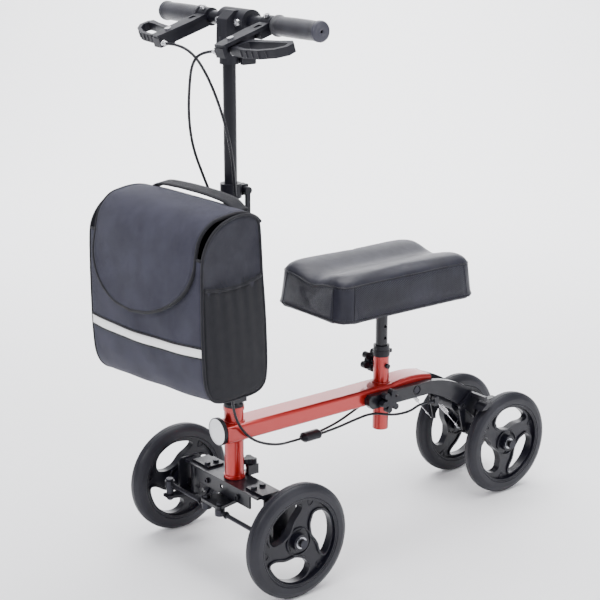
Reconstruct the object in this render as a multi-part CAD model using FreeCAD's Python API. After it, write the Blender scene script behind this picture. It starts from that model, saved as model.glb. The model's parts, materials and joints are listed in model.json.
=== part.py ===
import FreeCAD, Part
import math
import os

# Steerable knee scooter. Millimetres, +Z up, front of the scooter towards -Y,
# the rider's left towards +X. The model is laid out from the front axle line
# and then moved so that the origin is the bottom centre of its bounding box.

V = FreeCAD.Vector
X_AXIS = V(1, 0, 0)
Y_AXIS = V(0, 1, 0)
Z_AXIS = V(0, 0, 1)

# ---- driving dimensions ----
WHEEL_R = 101.0
WHEEL_W = 28.0
WHEELBASE = 597.0
FRONT_TRACK = 355.0
REAR_TRACK = 140.0
ORIGIN_Y = 258.8          # bounding box centre, measured from the front axle line

BEAM_W = 50.0
BEAM_Z0 = 231.0
BEAM_Z1 = 262.0
BEAM_WALL = 2.5
BEAM_FRONT_Y = -29.0
BEAM_BEND_Y = 345.0
BEAM_END_Y = 440.0
BEAM_ARCH = 7.0

HEAD_R = 17.0
HEAD_BORE_R = 14.0
HEAD_Z0 = 158.0
HEAD_Z1 = 290.0
STEM_R = 12.5
SEAT_TUBE_Y = 336.0
SEAT_TUBE_R = 14.8
SEAT_TUBE_BORE_R = 12.6
SEAT_TUBE_Z0 = 171.0
SEAT_TUBE_Z1 = 313.0
SEAT_POST_R = 11.1
PAD_Z0 = 426.0
PAD_Z1 = 498.0
PAD_W = 184.0
PAD_L = 310.0
PAD_Y = 322.0

FOLD_Z = 322.0
COLUMN_R = 13.3
COLUMN_BORE_R = 11.1
INNER_R = 11.0
COLUMN_TOP_Z = 673.0
INNER_Z0 = 545.0
STEM_HEAD_Z = 878.0
BAR_Y = 20.0
BAR_Z = 946.0
BAR_R = 11.1
BAR_HALF = 216.0
GRIP_R = 15.5
GRIP_IN = 104.0
LEVER_X = 88.0
LEVER_DROP_DEG = 18.0

KINGPIN_X = 118.0
AXLE_TOP_Z = 157.0
AXLE_DEPTH = 52.0
ROD_Y = -46.0
ROD_Z = 110.0
CRANK_Z = 117.5
EAR_TOP_Z = 144.2
EAR_LOW_Z = 84.8
EAR_T = 5.0
PITMAN_X = 20.0

ARM_IN = 25.6
ARM_T = 13.0
BRAKE_Y = 508.0
BRAKE_Z = 186.0
GAP = 0.05                # running clearance on a radius


# ---- small helpers ----
def box(x0, x1, y0, y1, z0, z1):
    return Part.makeBox(x1 - x0, y1 - y0, z1 - z0, V(x0, y0, z0))


def cyl(r, base, height, axis=Z_AXIS):
    return Part.makeCylinder(r, height, V(*base), axis)


def tube(r_out, r_in, base, height, axis=Z_AXIS):
    return cyl(r_out, base, height, axis).cut(cyl(r_in, base, height, axis))


def cone(r1, r2, base, height, axis=Z_AXIS):
    return Part.makeCone(r1, r2, height, V(*base), axis)


def fuse(*shapes):
    joined = shapes[0].multiFuse(list(shapes[1:]))
    return joined.removeSplitter()


def group(shapes):
    return Part.makeCompound(shapes)


def mirror_x(shape):
    return shape.mirror(V(0, 0, 0), X_AXIS)


def plate_yz(points, x0, x1):
    """A flat plate with the outline `points` (y, z), between x0 and x1."""
    corners = [V(x0, y, z) for y, z in points]
    face = Part.Face(Part.makePolygon(corners + corners[:1]))
    return face.extrude(V(x1 - x0, 0, 0))


def plate_xy(points, z0, z1):
    corners = [V(x, y, z0) for x, y in points]
    face = Part.Face(Part.makePolygon(corners + corners[:1]))
    return face.extrude(V(0, 0, z1 - z0))


def soft(shape, radius, edges=None):
    """Round every edge, or only those that `edges` accepts."""
    chosen = [e for e in shape.Edges if edges is None or edges(e)]
    return shape.makeFillet(radius, chosen)


def is_vertical(edge):
    a = edge.Vertexes[0].Point
    b = edge.Vertexes[-1].Point
    return abs(a.z - b.z) > 1.0 and abs(a.x - b.x) < 0.1 and abs(a.y - b.y) < 0.1


def is_along_y(edge):
    a = edge.Vertexes[0].Point
    b = edge.Vertexes[-1].Point
    return abs(a.y - b.y) > 1.0 and abs(a.x - b.x) < 0.1


def is_along_x(edge):
    a = edge.Vertexes[0].Point
    b = edge.Vertexes[-1].Point
    return abs(a.x - b.x) > 1.0 and abs(a.y - b.y) < 0.1 and abs(a.z - b.z) < 0.1


def cap_screw(base, axis, head_r, head_h, shank_r, shank_l):
    """A socket-head screw: `base` is under its head, the shank runs along -axis."""
    point = V(*base)
    head = cyl(head_r, point, head_h, axis)
    socket_at = point + axis * (head_h * 0.45)
    socket = cyl(head_r * 0.5, socket_at, head_h, axis)
    shank = cyl(shank_r, point, shank_l, axis * -1)
    return fuse(head.cut(socket), shank)


def hex_nut(base, axis, flat_r, height, bore):
    point = V(*base)
    side = axis.cross(Z_AXIS if abs(axis.z) < 0.9 else X_AXIS).normalize()
    up = axis.cross(side)
    corners = []
    for k in range(6):
        a = math.radians(60 * k)
        corners.append(point + side * (flat_r * math.cos(a)) + up * (flat_r * math.sin(a)))
    face = Part.Face(Part.makePolygon(corners + corners[:1]))
    return face.extrude(axis * height).cut(cyl(bore, point, height, axis))


def cord_tube(name, points, radius):
    """A cable along straight runs joined by tangent arcs as large as the runs allow."""
    route = [V(*p) for p in points]
    edges = []
    start = route[0]
    radii = []
    for before, corner, after in zip(route, route[1:], route[2:]):
        into = corner - before
        out = after - corner
        turn = into.getAngle(out)
        shorter = min(into.Length, out.Length)
        reach = 0.45 * shorter
        radii.append(reach / math.tan(turn / 2))
        a = corner - into.normalize() * reach
        b = corner + out.normalize() * reach
        bisector = (b - corner).normalize() + (a - corner).normalize()
        bisector.normalize()
        centre_gap = radii[-1] / math.cos(turn / 2)
        middle = corner + bisector * (centre_gap - radii[-1])
        edges.append(Part.LineSegment(start, a).toShape())
        edges.append(Part.Arc(a, middle, b).toShape())
        start = b
    edges.append(Part.LineSegment(start, route[-1]).toShape())
    path = Part.Wire(edges)
    heading = (route[1] - route[0]).normalize()
    section = Part.Wire([Part.makeCircle(radius, route[0], heading)])
    solid = path.makePipeShell([section], True, True)
    expected = math.pi * radius ** 2 * path.Length
    print(name, "radii", [round(r, 1) for r in radii], "length", round(path.Length, 1),
          "volume ratio", round(solid.Volume / expected, 4))
    return solid


def star_knob(centre, axis, lobes, r_mid, r_lobe, thickness):
    """A lobed hand knob: a hub with `lobes` rounded fingers, faces along `axis`."""
    point = V(*centre)
    side = axis.cross(Z_AXIS).normalize()
    up = axis.cross(side)
    parts = [cyl(r_mid * 0.72, point, thickness, axis)]
    for k in range(lobes):
        a = math.radians(360.0 * k / lobes + 12)
        spot = point + side * (r_mid * math.cos(a)) + up * (r_mid * math.sin(a))
        parts.append(cyl(r_lobe, spot, thickness, axis))
    return fuse(*parts)


# ---- wheels ----
OPENINGS = 3
WEB_W = 9.0
LIP = 3.6                 # width of the raised lip round an opening
LIP_RISE = 3.0
RIM_R = 80.0
HUB_R = 15.0
BEARING_R = 11.0
AXLE_R = 4.0
COMMA_HALF_SPAN = 43.0
# One comma-shaped opening: (radius, degrees clockwise from its fat end).
COMMA = [(56, 0), (66, 11), (71, 28), (71, 50), (69, 70), (64, 89), (54, 86), (42, 71), (32, 54),
         (28, 38), (30, 20), (36, 6), (46, 0)]


def comma_face(fat_deg, margin, x):
    """One wheel opening, grown by `margin`: its fat end is at `fat_deg`, its tail runs clockwise."""
    spots = []
    for r, clockwise in COMMA:
        a = math.radians(fat_deg - clockwise)
        spots.append(V(x, r * math.cos(a), r * math.sin(a)))
    grown = []
    for k, spot in enumerate(spots):
        along = spots[(k + 1) % len(spots)] - spots[k - 1]
        outward = along.cross(X_AXIS) * -1
        grown.append(spot + outward.normalize() * margin)
    curve = Part.BSplineCurve()
    curve.interpolate(grown, PeriodicFlag=True)
    return Part.Face(Part.Wire(curve.toShape()))


def wheel_core(turn_deg):
    half = WHEEL_W / 2
    rim = tube(RIM_R, RIM_R - 6.0, (-half + 2, 0, 0), WHEEL_W - 4, X_AXIS)
    web = tube(RIM_R - 5.0, HUB_R - 2.0, (-WEB_W / 2, 0, 0), WEB_W, X_AXIS)
    hub = tube(HUB_R, BEARING_R, (-half, 0, 0), WHEEL_W, X_AXIS)
    core = fuse(rim, web, hub)
    for k in range(OPENINGS):
        fat = turn_deg + COMMA_HALF_SPAN + 360.0 * k / OPENINGS
        lip = comma_face(fat, LIP, -WEB_W / 2 - LIP_RISE).extrude(V(WEB_W + 2 * LIP_RISE, 0, 0))
        core = core.fuse(lip.common(tube(RIM_R - 5, HUB_R, (-half, 0, 0), WHEEL_W, X_AXIS)))
    for k in range(OPENINGS):
        fat = turn_deg + COMMA_HALF_SPAN + 360.0 * k / OPENINGS
        core = core.cut(comma_face(fat, 0.0, -half - 1).extrude(V(WHEEL_W + 2, 0, 0)))
    spacer = tube(BEARING_R, AXLE_R + 3.0, (-half + 7, 0, 0), WHEEL_W - 14, X_AXIS)
    return fuse(core, spacer)


def tyre():
    half = WHEEL_W / 2
    profile = [(-half, RIM_R), (-half, WHEEL_R - 9.0), (-half + 5.0, WHEEL_R - 2.0),
               (-3.0, WHEEL_R), (3.0, WHEEL_R), (half - 5.0, WHEEL_R - 2.0),
               (half, WHEEL_R - 9.0), (half, RIM_R), (half - 2, RIM_R), (-half + 2, RIM_R)]
    corners = [V(x, 0, r) for x, r in profile]
    face = Part.Face(Part.makePolygon(corners + corners[:1]))
    ring = face.revolve(V(0, 0, 0), X_AXIS, 360)
    groove = tube(RIM_R + 8.5, RIM_R + 6.0, (half - 0.8, 0, 0), 2.0, X_AXIS)
    return ring.cut(groove).cut(mirror_x(groove))


def bearings():
    half = WHEEL_W / 2
    outer = tube(BEARING_R - 0.01, AXLE_R + GAP, (-half + 0.4, 0, 0), 6.5, X_AXIS)
    return [outer, mirror_x(outer)]


def place_wheel(shape, x, y):
    moved = shape.copy()
    moved.translate(V(x, y, WHEEL_R))
    return moved


def wheel_nodes(name, x, y, turn_deg):
    return {
        name + "_tyre": place_wheel(tyre(), x, y),
        name + "_core": place_wheel(group([wheel_core(turn_deg)] + bearings()), x, y),
    }


# ---- frame ----
def rounded_bar(x_half, y0, y1, z0, z1, radius):
    bar = box(-x_half, x_half, y0, y1, z0, z1)
    return soft(bar, radius, is_along_y)


def beam_profile(inset):
    """Side outline of the beam: straight, then a low arch that droops at its end."""
    z0 = BEAM_Z0 + inset
    z1 = BEAM_Z1 - inset
    y0 = BEAM_FRONT_Y
    crown_y = (BEAM_BEND_Y + BEAM_END_Y) / 2
    top = [V(0, y0, z1), V(0, BEAM_BEND_Y, z1)]
    top_mid = V(0, crown_y, z1 + BEAM_ARCH * 0.6)
    top_end = V(0, BEAM_END_Y, z1 - BEAM_ARCH * 0.2)
    low_end = V(0, BEAM_END_Y, z0 - BEAM_ARCH * 0.2)
    low_mid = V(0, crown_y, z0 + BEAM_ARCH * 0.6)
    low = [V(0, BEAM_BEND_Y, z0), V(0, y0, z0)]
    edges = [Part.LineSegment(top[0], top[1]).toShape(),
             Part.Arc(top[1], top_mid, top_end).toShape(),
             Part.LineSegment(top_end, low_end).toShape(),
             Part.Arc(low_end, low_mid, low[0]).toShape(),
             Part.LineSegment(low[0], low[1]).toShape(),
             Part.LineSegment(low[1], top[0]).toShape()]
    return Part.Face(Part.Wire(edges))


def main_beam():
    half = BEAM_W / 2
    outer = beam_profile(0)
    outer.translate(V(-half, 0, 0))
    solid = outer.extrude(V(BEAM_W, 0, 0))
    long_edges = [e for e in solid.Edges
                  if abs(e.Vertexes[0].Point.y - e.Vertexes[-1].Point.y) > 5.0]
    solid = solid.makeFillet(6.0, long_edges)
    inner = beam_profile(BEAM_WALL)
    inner.translate(V(-half + BEAM_WALL, 0, 0))
    solid = solid.cut(inner.extrude(V(BEAM_W - 2 * BEAM_WALL, 0, 0)))
    solid = solid.cut(cyl(HEAD_R, (0, 0, 200), 100))
    return solid.cut(cyl(SEAT_TUBE_R, (0, SEAT_TUBE_Y, 200), 100))


def beam_front_cap():
    half = BEAM_W / 2
    cap = rounded_bar(half - BEAM_WALL - 0.2, BEAM_FRONT_Y + 0.5, BEAM_FRONT_Y + 10,
                      BEAM_Z0 + BEAM_WALL + 0.2, BEAM_Z1 - BEAM_WALL - 0.2, 3.0)
    lip = cyl(24.5, (0, BEAM_FRONT_Y, 249.0), 3.0, Y_AXIS * -1)
    pin = box(-8, 8, BEAM_FRONT_Y - 0.5, BEAM_FRONT_Y + 1, 240, 252)
    return fuse(cap, lip, pin)


def front_reflector():
    y = BEAM_FRONT_Y - 3.0
    disc = cyl(22.0, (0, y, 249.0), 3.0, Y_AXIS * -1)
    ring = tube(24.5, 22.0, (0, y, 249.0), 4.0, Y_AXIS * -1)
    return fuse(disc, ring)


def beam_end_plug():
    half = BEAM_W / 2
    drop = BEAM_ARCH * 0.2
    y0 = BEAM_END_Y - 7
    inside = box(-half + 3, half - 3, y0, BEAM_END_Y + 0.2,
                 BEAM_Z0 + 4.5 - drop, BEAM_Z1 - 4.5 - drop)
    cover = box(-half + 1, half - 1, BEAM_END_Y + 0.1, BEAM_END_Y + 3,
                BEAM_Z0 + 1 - drop, BEAM_Z1 - 1 - drop)
    return fuse(inside, soft(cover, 3.0, is_along_y))


def head_tube():
    body = tube(HEAD_R, HEAD_BORE_R, (0, 0, HEAD_Z0), HEAD_Z1 - HEAD_Z0)
    rim = tube(HEAD_R + 1.5, HEAD_R - 0.5, (0, 0, HEAD_Z1 - 7), 7)
    foot = tube(HEAD_R + 2.0, HEAD_R - 0.5, (0, 0, HEAD_Z0), 6)
    return fuse(body, rim, foot)


def head_bushes():
    upper = tube(HEAD_BORE_R - 0.02, STEM_R + GAP, (0, 0, HEAD_Z1 - 18), 18)
    flange = tube(HEAD_R + 0.5, STEM_R + GAP, (0, 0, HEAD_Z1), 5)
    lower = tube(HEAD_BORE_R - 0.02, STEM_R + GAP, (0, 0, HEAD_Z0 + 1), 18)
    return group([fuse(upper, flange), lower])


def seat_tube():
    body = tube(SEAT_TUBE_R, SEAT_TUBE_BORE_R, (0, SEAT_TUBE_Y, SEAT_TUBE_Z0),
                SEAT_TUBE_Z1 - SEAT_TUBE_Z0)
    pin_z = SEAT_PIN_Z
    return body.cut(cyl(3.2, (-30, SEAT_TUBE_Y, pin_z), 60, X_AXIS))


SEAT_PIN_Z = 296.0
SEAT_UP = 60.0
SEAT_DOWN = 25.0


def seat_collar():
    body = tube(SEAT_TUBE_R + 0.3, SEAT_POST_R + GAP, (0, SEAT_TUBE_Y, SEAT_TUBE_Z1), 21)
    band = tube(SEAT_TUBE_R + 1.2, SEAT_POST_R + 1, (0, SEAT_TUBE_Y, SEAT_TUBE_Z1 + 2), 9)
    ear = box(-5, 5, SEAT_TUBE_Y + 13, SEAT_TUBE_Y + 22, SEAT_TUBE_Z1 + 3, SEAT_TUBE_Z1 + 10)
    sleeve = tube(SEAT_TUBE_BORE_R - 0.02, SEAT_POST_R + GAP, (0, SEAT_TUBE_Y, SEAT_TUBE_Z1 - 10), 10)
    return fuse(body, band, ear, sleeve)


def seat_knob():
    """The star knob on the rider's right side, with its pin through tube and post."""
    y = SEAT_TUBE_Y
    z = SEAT_PIN_Z
    shank = cyl(2.9, (-SEAT_TUBE_R - 12, y, z), 2 * SEAT_TUBE_R + 17, X_AXIS)
    tip = cyl(4.6, (SEAT_TUBE_R + 0.6, y, z), 5, X_AXIS)
    neck = cyl(8.0, (-SEAT_TUBE_R - 0.8, y, z), 8, X_AXIS * -1)
    knob = star_knob((-SEAT_TUBE_R - 8.5, y, z), X_AXIS * -1, 5, 16.0, 6.5, 12)
    return fuse(shank, tip, neck, knob)


def seat_post():
    """The height post, its row of holes and slot, welded to the plate under the pad."""
    z0 = SEAT_TUBE_Z0 + 34
    top = PAD_Z0 - 8
    body = tube(SEAT_POST_R, SEAT_POST_R - 2, (0, SEAT_TUBE_Y, z0), top - z0)
    slot_low = SEAT_PIN_Z - SEAT_UP - 4
    slot_high = SEAT_PIN_Z + SEAT_DOWN + 4
    slot = box(-20, 20, SEAT_TUBE_Y - 3.3, SEAT_TUBE_Y + 3.3, slot_low, slot_high)
    body = body.cut(slot)
    for z in (349, 371, 393):
        body = body.cut(cyl(3.0, (8, SEAT_TUBE_Y, z), 10, X_AXIS))
    z = PAD_Z0 - 4
    plate = box(-60, 60, PAD_Y - 110, PAD_Y + 110, z, PAD_Z0 - 0.3)
    plate = soft(plate, 12.0, is_vertical)
    socket = tube(SEAT_POST_R + 4, SEAT_POST_R - 0.5, (0, SEAT_TUBE_Y, z - 22), 22)
    ribs = []
    for way in (-1, 1):
        near = SEAT_TUBE_Y + 15 * way
        ribs.append(plate_yz([(near, z), (near + 45 * way, z), (near, z - 20)], -2, 2))
    return fuse(body, plate, socket, *ribs)


def knee_pad():
    half = PAD_W / 2
    y0 = PAD_Y - PAD_L / 2
    body = box(-half, half, y0, y0 + PAD_L, PAD_Z0, PAD_Z1)
    body = soft(body, 26.0, is_vertical)
    trough = cyl(150.0, (0, y0 - 10, PAD_Z1 + 142), PAD_L + 20, Y_AXIS)
    return body.cut(trough)


# ---- rear end ----
ARM_FRONT_Y = 275.0
ARM_H = 25.0
ARM_TOP_Z = 254.0


def arm_face(x):
    """Side outline of a rear arm: level beside the beam, then one sweep down to the axle."""
    z1 = ARM_TOP_Z
    z0 = ARM_TOP_Z - ARM_H
    bend_y = 425.0
    end = V(x, WHEELBASE, WHEEL_R)
    outer_mid = V(x, 536.0, 212.0)
    inner_mid = V(x, 506.0, 187.0)
    a = V(x, ARM_FRONT_Y + 6, z1)
    b = V(x, bend_y, z1)
    c = V(x, WHEELBASE + 13, WHEEL_R + 12)
    d = V(x, WHEELBASE - 13, WHEEL_R + 6)
    e = V(x, bend_y, z0)
    f = V(x, ARM_FRONT_Y + 8, z0)
    g = V(x, ARM_FRONT_Y, z0 + 8)
    h = V(x, ARM_FRONT_Y, z1 - 6)
    edges = [Part.LineSegment(a, b).toShape(), Part.Arc(b, outer_mid, c).toShape(),
             Part.Arc(c, V(x, end.y + 3, end.z - 16), d).toShape(),
             Part.Arc(d, inner_mid, e).toShape(),
             Part.LineSegment(e, f).toShape(), Part.LineSegment(f, g).toShape(),
             Part.LineSegment(g, h).toShape(), Part.LineSegment(h, a).toShape()]
    return Part.Face(Part.Wire(edges))


def rear_arm_left():
    arm = arm_face(ARM_IN).extrude(V(ARM_T, 0, 0))
    recess = cyl(9.0, (ARM_IN + ARM_T - 2.5, 392, 243), 5, X_AXIS)
    arm = arm.cut(recess)
    arm = arm.cut(cyl(4.1, (0, 392, 243), 60, X_AXIS))
    arm = arm.cut(cyl(4.1, (0, ARM_KNOB_Y, ARM_KNOB_Z), 60, X_AXIS))
    arm = arm.cut(cyl(5.1, (0, WHEELBASE, WHEEL_R), 60, X_AXIS))
    arm = arm.cut(cyl(4.1, (0, BRACE_Y, BRACE_Z), 60, X_AXIS))
    return arm.cut(cyl(4.1, (0, BRAKE_Y, BRAKE_Z), 60, X_AXIS))


ARM_KNOB_Y = 316.5
ARM_KNOB_Z = 241.5
BRACE_Y = 556.0
BRACE_Z = 168.0


def arm_bolts():
    """The cross bolts: two through the beam, the brace behind it and the brake shaft."""
    x = ARM_IN + ARM_T - 2.4
    front = cyl(4.0, (-x, 392, 243), 2 * x, X_AXIS)
    head = cyl(6.8, (x, 392, 243), 2.2, X_AXIS)
    tail = cyl(6.8, (-x, 392, 243), 2.2, X_AXIS * -1)
    x = ARM_IN + ARM_T + 0.1
    brace = cyl(4.0, (-x - 1, BRACE_Y, BRACE_Z), 2 * x + 2, X_AXIS)
    brace_head = cyl(7.0, (x, BRACE_Y, BRACE_Z), 4, X_AXIS)
    brace_tail = cyl(7.0, (-x, BRACE_Y, BRACE_Z), 4, X_AXIS * -1)
    pivot = cyl(4.0, (-x - 9, BRAKE_Y, BRAKE_Z), 2 * x + 18, X_AXIS)
    knob_bolt = cyl(4.0, (-x - 3, ARM_KNOB_Y, ARM_KNOB_Z), 2 * x + 12, X_AXIS)
    knob_nut = hex_nut((-x - 0.1, ARM_KNOB_Y, ARM_KNOB_Z), X_AXIS * -1, 8.0, 6, 3.9)
    return group([fuse(front, head, tail), fuse(brace, brace_head, brace_tail), pivot,
                  fuse(knob_bolt, knob_nut)])


def beam_bolt_holes(shape):
    cut = shape.cut(cyl(4.1, (-60, 392, 243), 120, X_AXIS))
    return cut.cut(cyl(4.1, (-60, ARM_KNOB_Y, ARM_KNOB_Z), 120, X_AXIS))


def rear_spacers():
    """Tubes between the arms around the brace bolt, the brake shaft and the axle."""
    inside = ARM_IN - 0.05
    brace = tube(10.0, 4.1, (-inside, BRACE_Y, BRACE_Z), 2 * inside, X_AXIS)
    axle = tube(9.0, 5.1, (-inside, WHEELBASE, WHEEL_R), 2 * inside, X_AXIS)
    shaft = tube(13.0, 4.1, (-inside, BRAKE_Y, BRAKE_Z), 2 * inside, X_AXIS)
    return group([brace, axle, shaft])


def arm_clamp_knob():
    x = ARM_IN + ARM_T
    spot = (x + 0.4, ARM_KNOB_Y, ARM_KNOB_Z)
    neck = cyl(9.0, spot, 5, X_AXIS)
    knob = star_knob((x + 4, ARM_KNOB_Y, ARM_KNOB_Z), X_AXIS, 6, 16.0, 6.0, 12)
    return fuse(neck, knob).cut(cyl(4.05, spot, 12, X_AXIS))


def rear_axle():
    half = REAR_TRACK / 2 + WHEEL_W / 2 + 9
    rod = cyl(AXLE_R, (-half, WHEELBASE, WHEEL_R), 2 * half, X_AXIS)
    inner = cyl(5.0, (-ARM_IN - ARM_T, WHEELBASE, WHEEL_R), 2 * (ARM_IN + ARM_T), X_AXIS)
    head = cyl(8.0, (half - 5, WHEELBASE, WHEEL_R), 5, X_AXIS)
    collar_x = ARM_IN + ARM_T
    collar = tube(8.0, AXLE_R - 0.5, (collar_x + 0.05, WHEELBASE, WHEEL_R),
                  REAR_TRACK / 2 - WHEEL_W / 2 - collar_x - 0.1, X_AXIS)
    return fuse(rod, inner, head, mirror_x(head), collar, mirror_x(collar))


def wheel_guard_left():
    """The folded steel bracket inboard of a rear wheel that carries its brake."""
    x = ARM_IN + ARM_T + 0.1
    outline = [(540, 150), (556, 186), (590, 190), (592, 168), (566, 160), (562, 140)]
    plate = plate_yz(outline, x + 0.1, x + 3.1)
    fold = box(x + 0.1, x + 13, 557, 590, 187, 190)
    plate = fuse(plate, fold)
    return plate.cut(cyl(7.2, (x - 1, BRACE_Y, BRACE_Z), 20, X_AXIS))


def brake_arm_left():
    """A rocking arm on the brake shaft: a shoe arm towards the tyre, a cable arm below."""
    x = ARM_IN + ARM_T
    y = BRAKE_Y
    z = BRAKE_Z
    hub = tube(8.5, 4.0 + GAP, (x + 0.3, y, z), 6, X_AXIS)
    shoe_arm = plate_yz([(y - 7, z + 5), (y + 20, z + 26), (y + 27, z + 20), (y + 4, z - 8)],
                        x + 1.3, x + 6.3)
    cable_arm = plate_yz([(y - 6, z + 4), (y - 9, z - 6), (y + 2, z - 50), (y + 8, z - 50), (y + 7, z - 2)],
                         x + 1.3, x + 4.3)
    carrier = box(x + 1.3, REAR_TRACK / 2 + 12, y + 19, y + 26, z + 16, z + 25)
    body = fuse(hub, shoe_arm, cable_arm, carrier)
    return body.cut(cyl(4.0 + GAP, (x, y, z), 10, X_AXIS)).cut(cyl(1.6, (x, y + 5, z - 46), 8, X_AXIS))


def brake_shoe_left():
    """The friction block that the arm presses on the tyre."""
    x0 = REAR_TRACK / 2 - WHEEL_W / 2 + 2
    inner = WHEEL_R + 3.0
    outer = WHEEL_R + 12.0
    ring = tube(outer, inner, (x0, WHEELBASE, WHEEL_R), WHEEL_W - 4, X_AXIS)
    wedge = box(x0 - 1, x0 + WHEEL_W, 516, 545, 184, 216)
    block = ring.common(wedge)
    y = BRAKE_Y
    z = BRAKE_Z
    return block.cut(box(0, REAR_TRACK / 2 + 12.1, y + 18.9, y + 26.1, z + 15.9, z + 25.1))


def cable_stop_left():
    """The bracket and threaded adjuster that end the brake cable's outer sleeve."""
    x = ARM_IN + ARM_T + 0.1
    lug = box(x, x + 9, 430, 440, 205, 222)
    adjuster = cyl(3.6, (x + 4.5, 416, 214.5), 13, V(0, 1, -0.12))
    return fuse(lug, adjuster)


# ---- front axle and steering ----
def front_axle_beam():
    """An inverted steel channel with a kingpin boss at each end."""
    half = KINGPIN_X - 16
    d = AXLE_DEPTH / 2
    top = box(-half, half, -d, d, AXLE_TOP_Z - 3.5, AXLE_TOP_Z)
    front = box(-half + 22, half - 22, -d, -d + 3.5, AXLE_TOP_Z - 27, AXLE_TOP_Z)
    back = box(-half + 22, half - 22, d - 3.5, d, AXLE_TOP_Z - 27, AXLE_TOP_Z)
    channel = fuse(top, front, back)
    end_plate = box(half - 45, KINGPIN_X - 13, -17, 17, AXLE_TOP_Z - 4, AXLE_TOP_Z + 4)
    boss_z0 = EAR_LOW_Z + EAR_T + 0.2
    boss = cyl(10.5, (KINGPIN_X, 0, boss_z0), EAR_TOP_Z - 0.2 - boss_z0)
    web = box(half - 6, KINGPIN_X - 2, -9, 9, 104, EAR_TOP_Z - 0.4)
    rise = box(half - 6, KINGPIN_X - 17.5, -9, 9, 112, AXLE_TOP_Z - 3)
    side = fuse(end_plate, boss, web, rise)
    body = fuse(channel, side, mirror_x(side))
    for x in (-KINGPIN_X, KINGPIN_X):
        body = body.cut(cyl(5.0 + GAP, (x, 0, 80), 90))
    for x in (-46, 46):
        body = body.cut(cyl(2.55, (x, -d - 1, AXLE_TOP_Z - 16), 6, Y_AXIS))
    body = body.cut(cyl(STEM_R + 3.0, (0, 0, 120), 60))
    return body.cut(cyl(4.0, (-4, -40, AXLE_TOP_Z - 13), 30, Y_AXIS))


def axle_bolts():
    screws = []
    for x in (-70, 70):
        for y in (-9, 9):
            screws.append(hex_nut((x, y, AXLE_TOP_Z + 4), Z_AXIS, 6.0, 4, 0.01))
    face_y = -AXLE_DEPTH / 2 - 0.05
    for x in (-46, 46):
        screws.append(cap_screw((x, face_y, AXLE_TOP_Z - 16), Y_AXIS * -1, 5.0, 4, 2.5, 3))
    return group(screws)


def stop_bracket():
    """The small bracket behind the head tube that carries the hand knob's screw."""
    d = AXLE_DEPTH / 2
    plate = box(-9, 9, d - 4, d + 18, AXLE_TOP_Z + 0.05, AXLE_TOP_Z + 4)
    ear = box(9, 12, d - 4, d + 18, AXLE_TOP_Z + 0.05, AXLE_TOP_Z + 18)
    post = tube(6.0, 3.2, (0, d + 6, AXLE_TOP_Z + 3.9), 8)
    body = fuse(plate, ear, post)
    return body.cut(cyl(3.2, (0, d + 6, AXLE_TOP_Z - 2), 12))


def lock_knob():
    """A three-lobed knob on its screw."""
    d = AXLE_DEPTH / 2
    y = d + 6
    screw = cyl(3.0, (0, y, AXLE_TOP_Z - 6), 26)
    neck = cyl(7.0, (0, y, AXLE_TOP_Z + 12.2), 8)
    parts = [screw, neck, cyl(9.0, (0, y, AXLE_TOP_Z + 19), 9)]
    for k in range(3):
        a = math.radians(120 * k + 30)
        parts.append(cyl(5.5, (9 * math.cos(a), y + 9 * math.sin(a), AXLE_TOP_Z + 19), 9))
    return fuse(*parts)


def steering_stem():
    """The steering shaft in the head tube, with its crank plate below and fold yoke above."""
    shaft = cyl(STEM_R, (0, 0, CRANK_Z), HEAD_Z1 + 5.2 - CRANK_Z)
    crank = plate_xy([(-30, ROD_Y - 9), (30, ROD_Y - 9), (16, 12), (-16, 12)], CRANK_Z, CRANK_Z + 5.5)
    crank = soft(crank, 6.0, is_vertical)
    crown = cone(17.0, 15.0, (0, 0, HEAD_Z1 + 5.2), 6)
    yoke = box(-21, 21, -13, 13, HEAD_Z1 + 11, FOLD_Z + 12)
    yoke = yoke.cut(box(-14.3, 14.3, -20, 20, HEAD_Z1 + 14, FOLD_Z + 20))
    body = fuse(shaft, crank, crown, yoke)
    body = body.cut(cyl(4.0 + GAP, (-40, 0, FOLD_Z), 80, X_AXIS))
    for x in (-PITMAN_X, PITMAN_X):
        body = body.cut(cyl(4.0 + GAP, (x, ROD_Y, 100), 40))
    return body


def tie_rod_left():
    """A short track rod with a bearing eye at each end, its ball studs pointing up."""
    far = KINGPIN_X + PITMAN_X
    near_eye = cyl(9.0, (PITMAN_X, ROD_Y, ROD_Z - 6), 12)
    far_eye = cyl(9.0, (far, ROD_Y, ROD_Z - 6), 12).cut(cyl(5.2, (far, ROD_Y, ROD_Z - 10), 30))
    rod = cyl(4.0, (PITMAN_X + 6, ROD_Y, ROD_Z), far - PITMAN_X - 13, X_AXIS)
    stud = cyl(4.0, (PITMAN_X, ROD_Y, ROD_Z), CRANK_Z + 11.5 - ROD_Z)
    nut = hex_nut((PITMAN_X, ROD_Y, CRANK_Z + 5.7), Z_AXIS, 6.5, 4.5, 3.9)
    nuts = hex_nut((PITMAN_X + 16, ROD_Y, ROD_Z), X_AXIS, 6.5, 5, 3.9)
    return fuse(near_eye, far_eye, rod, stud, nut, nuts)


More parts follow.
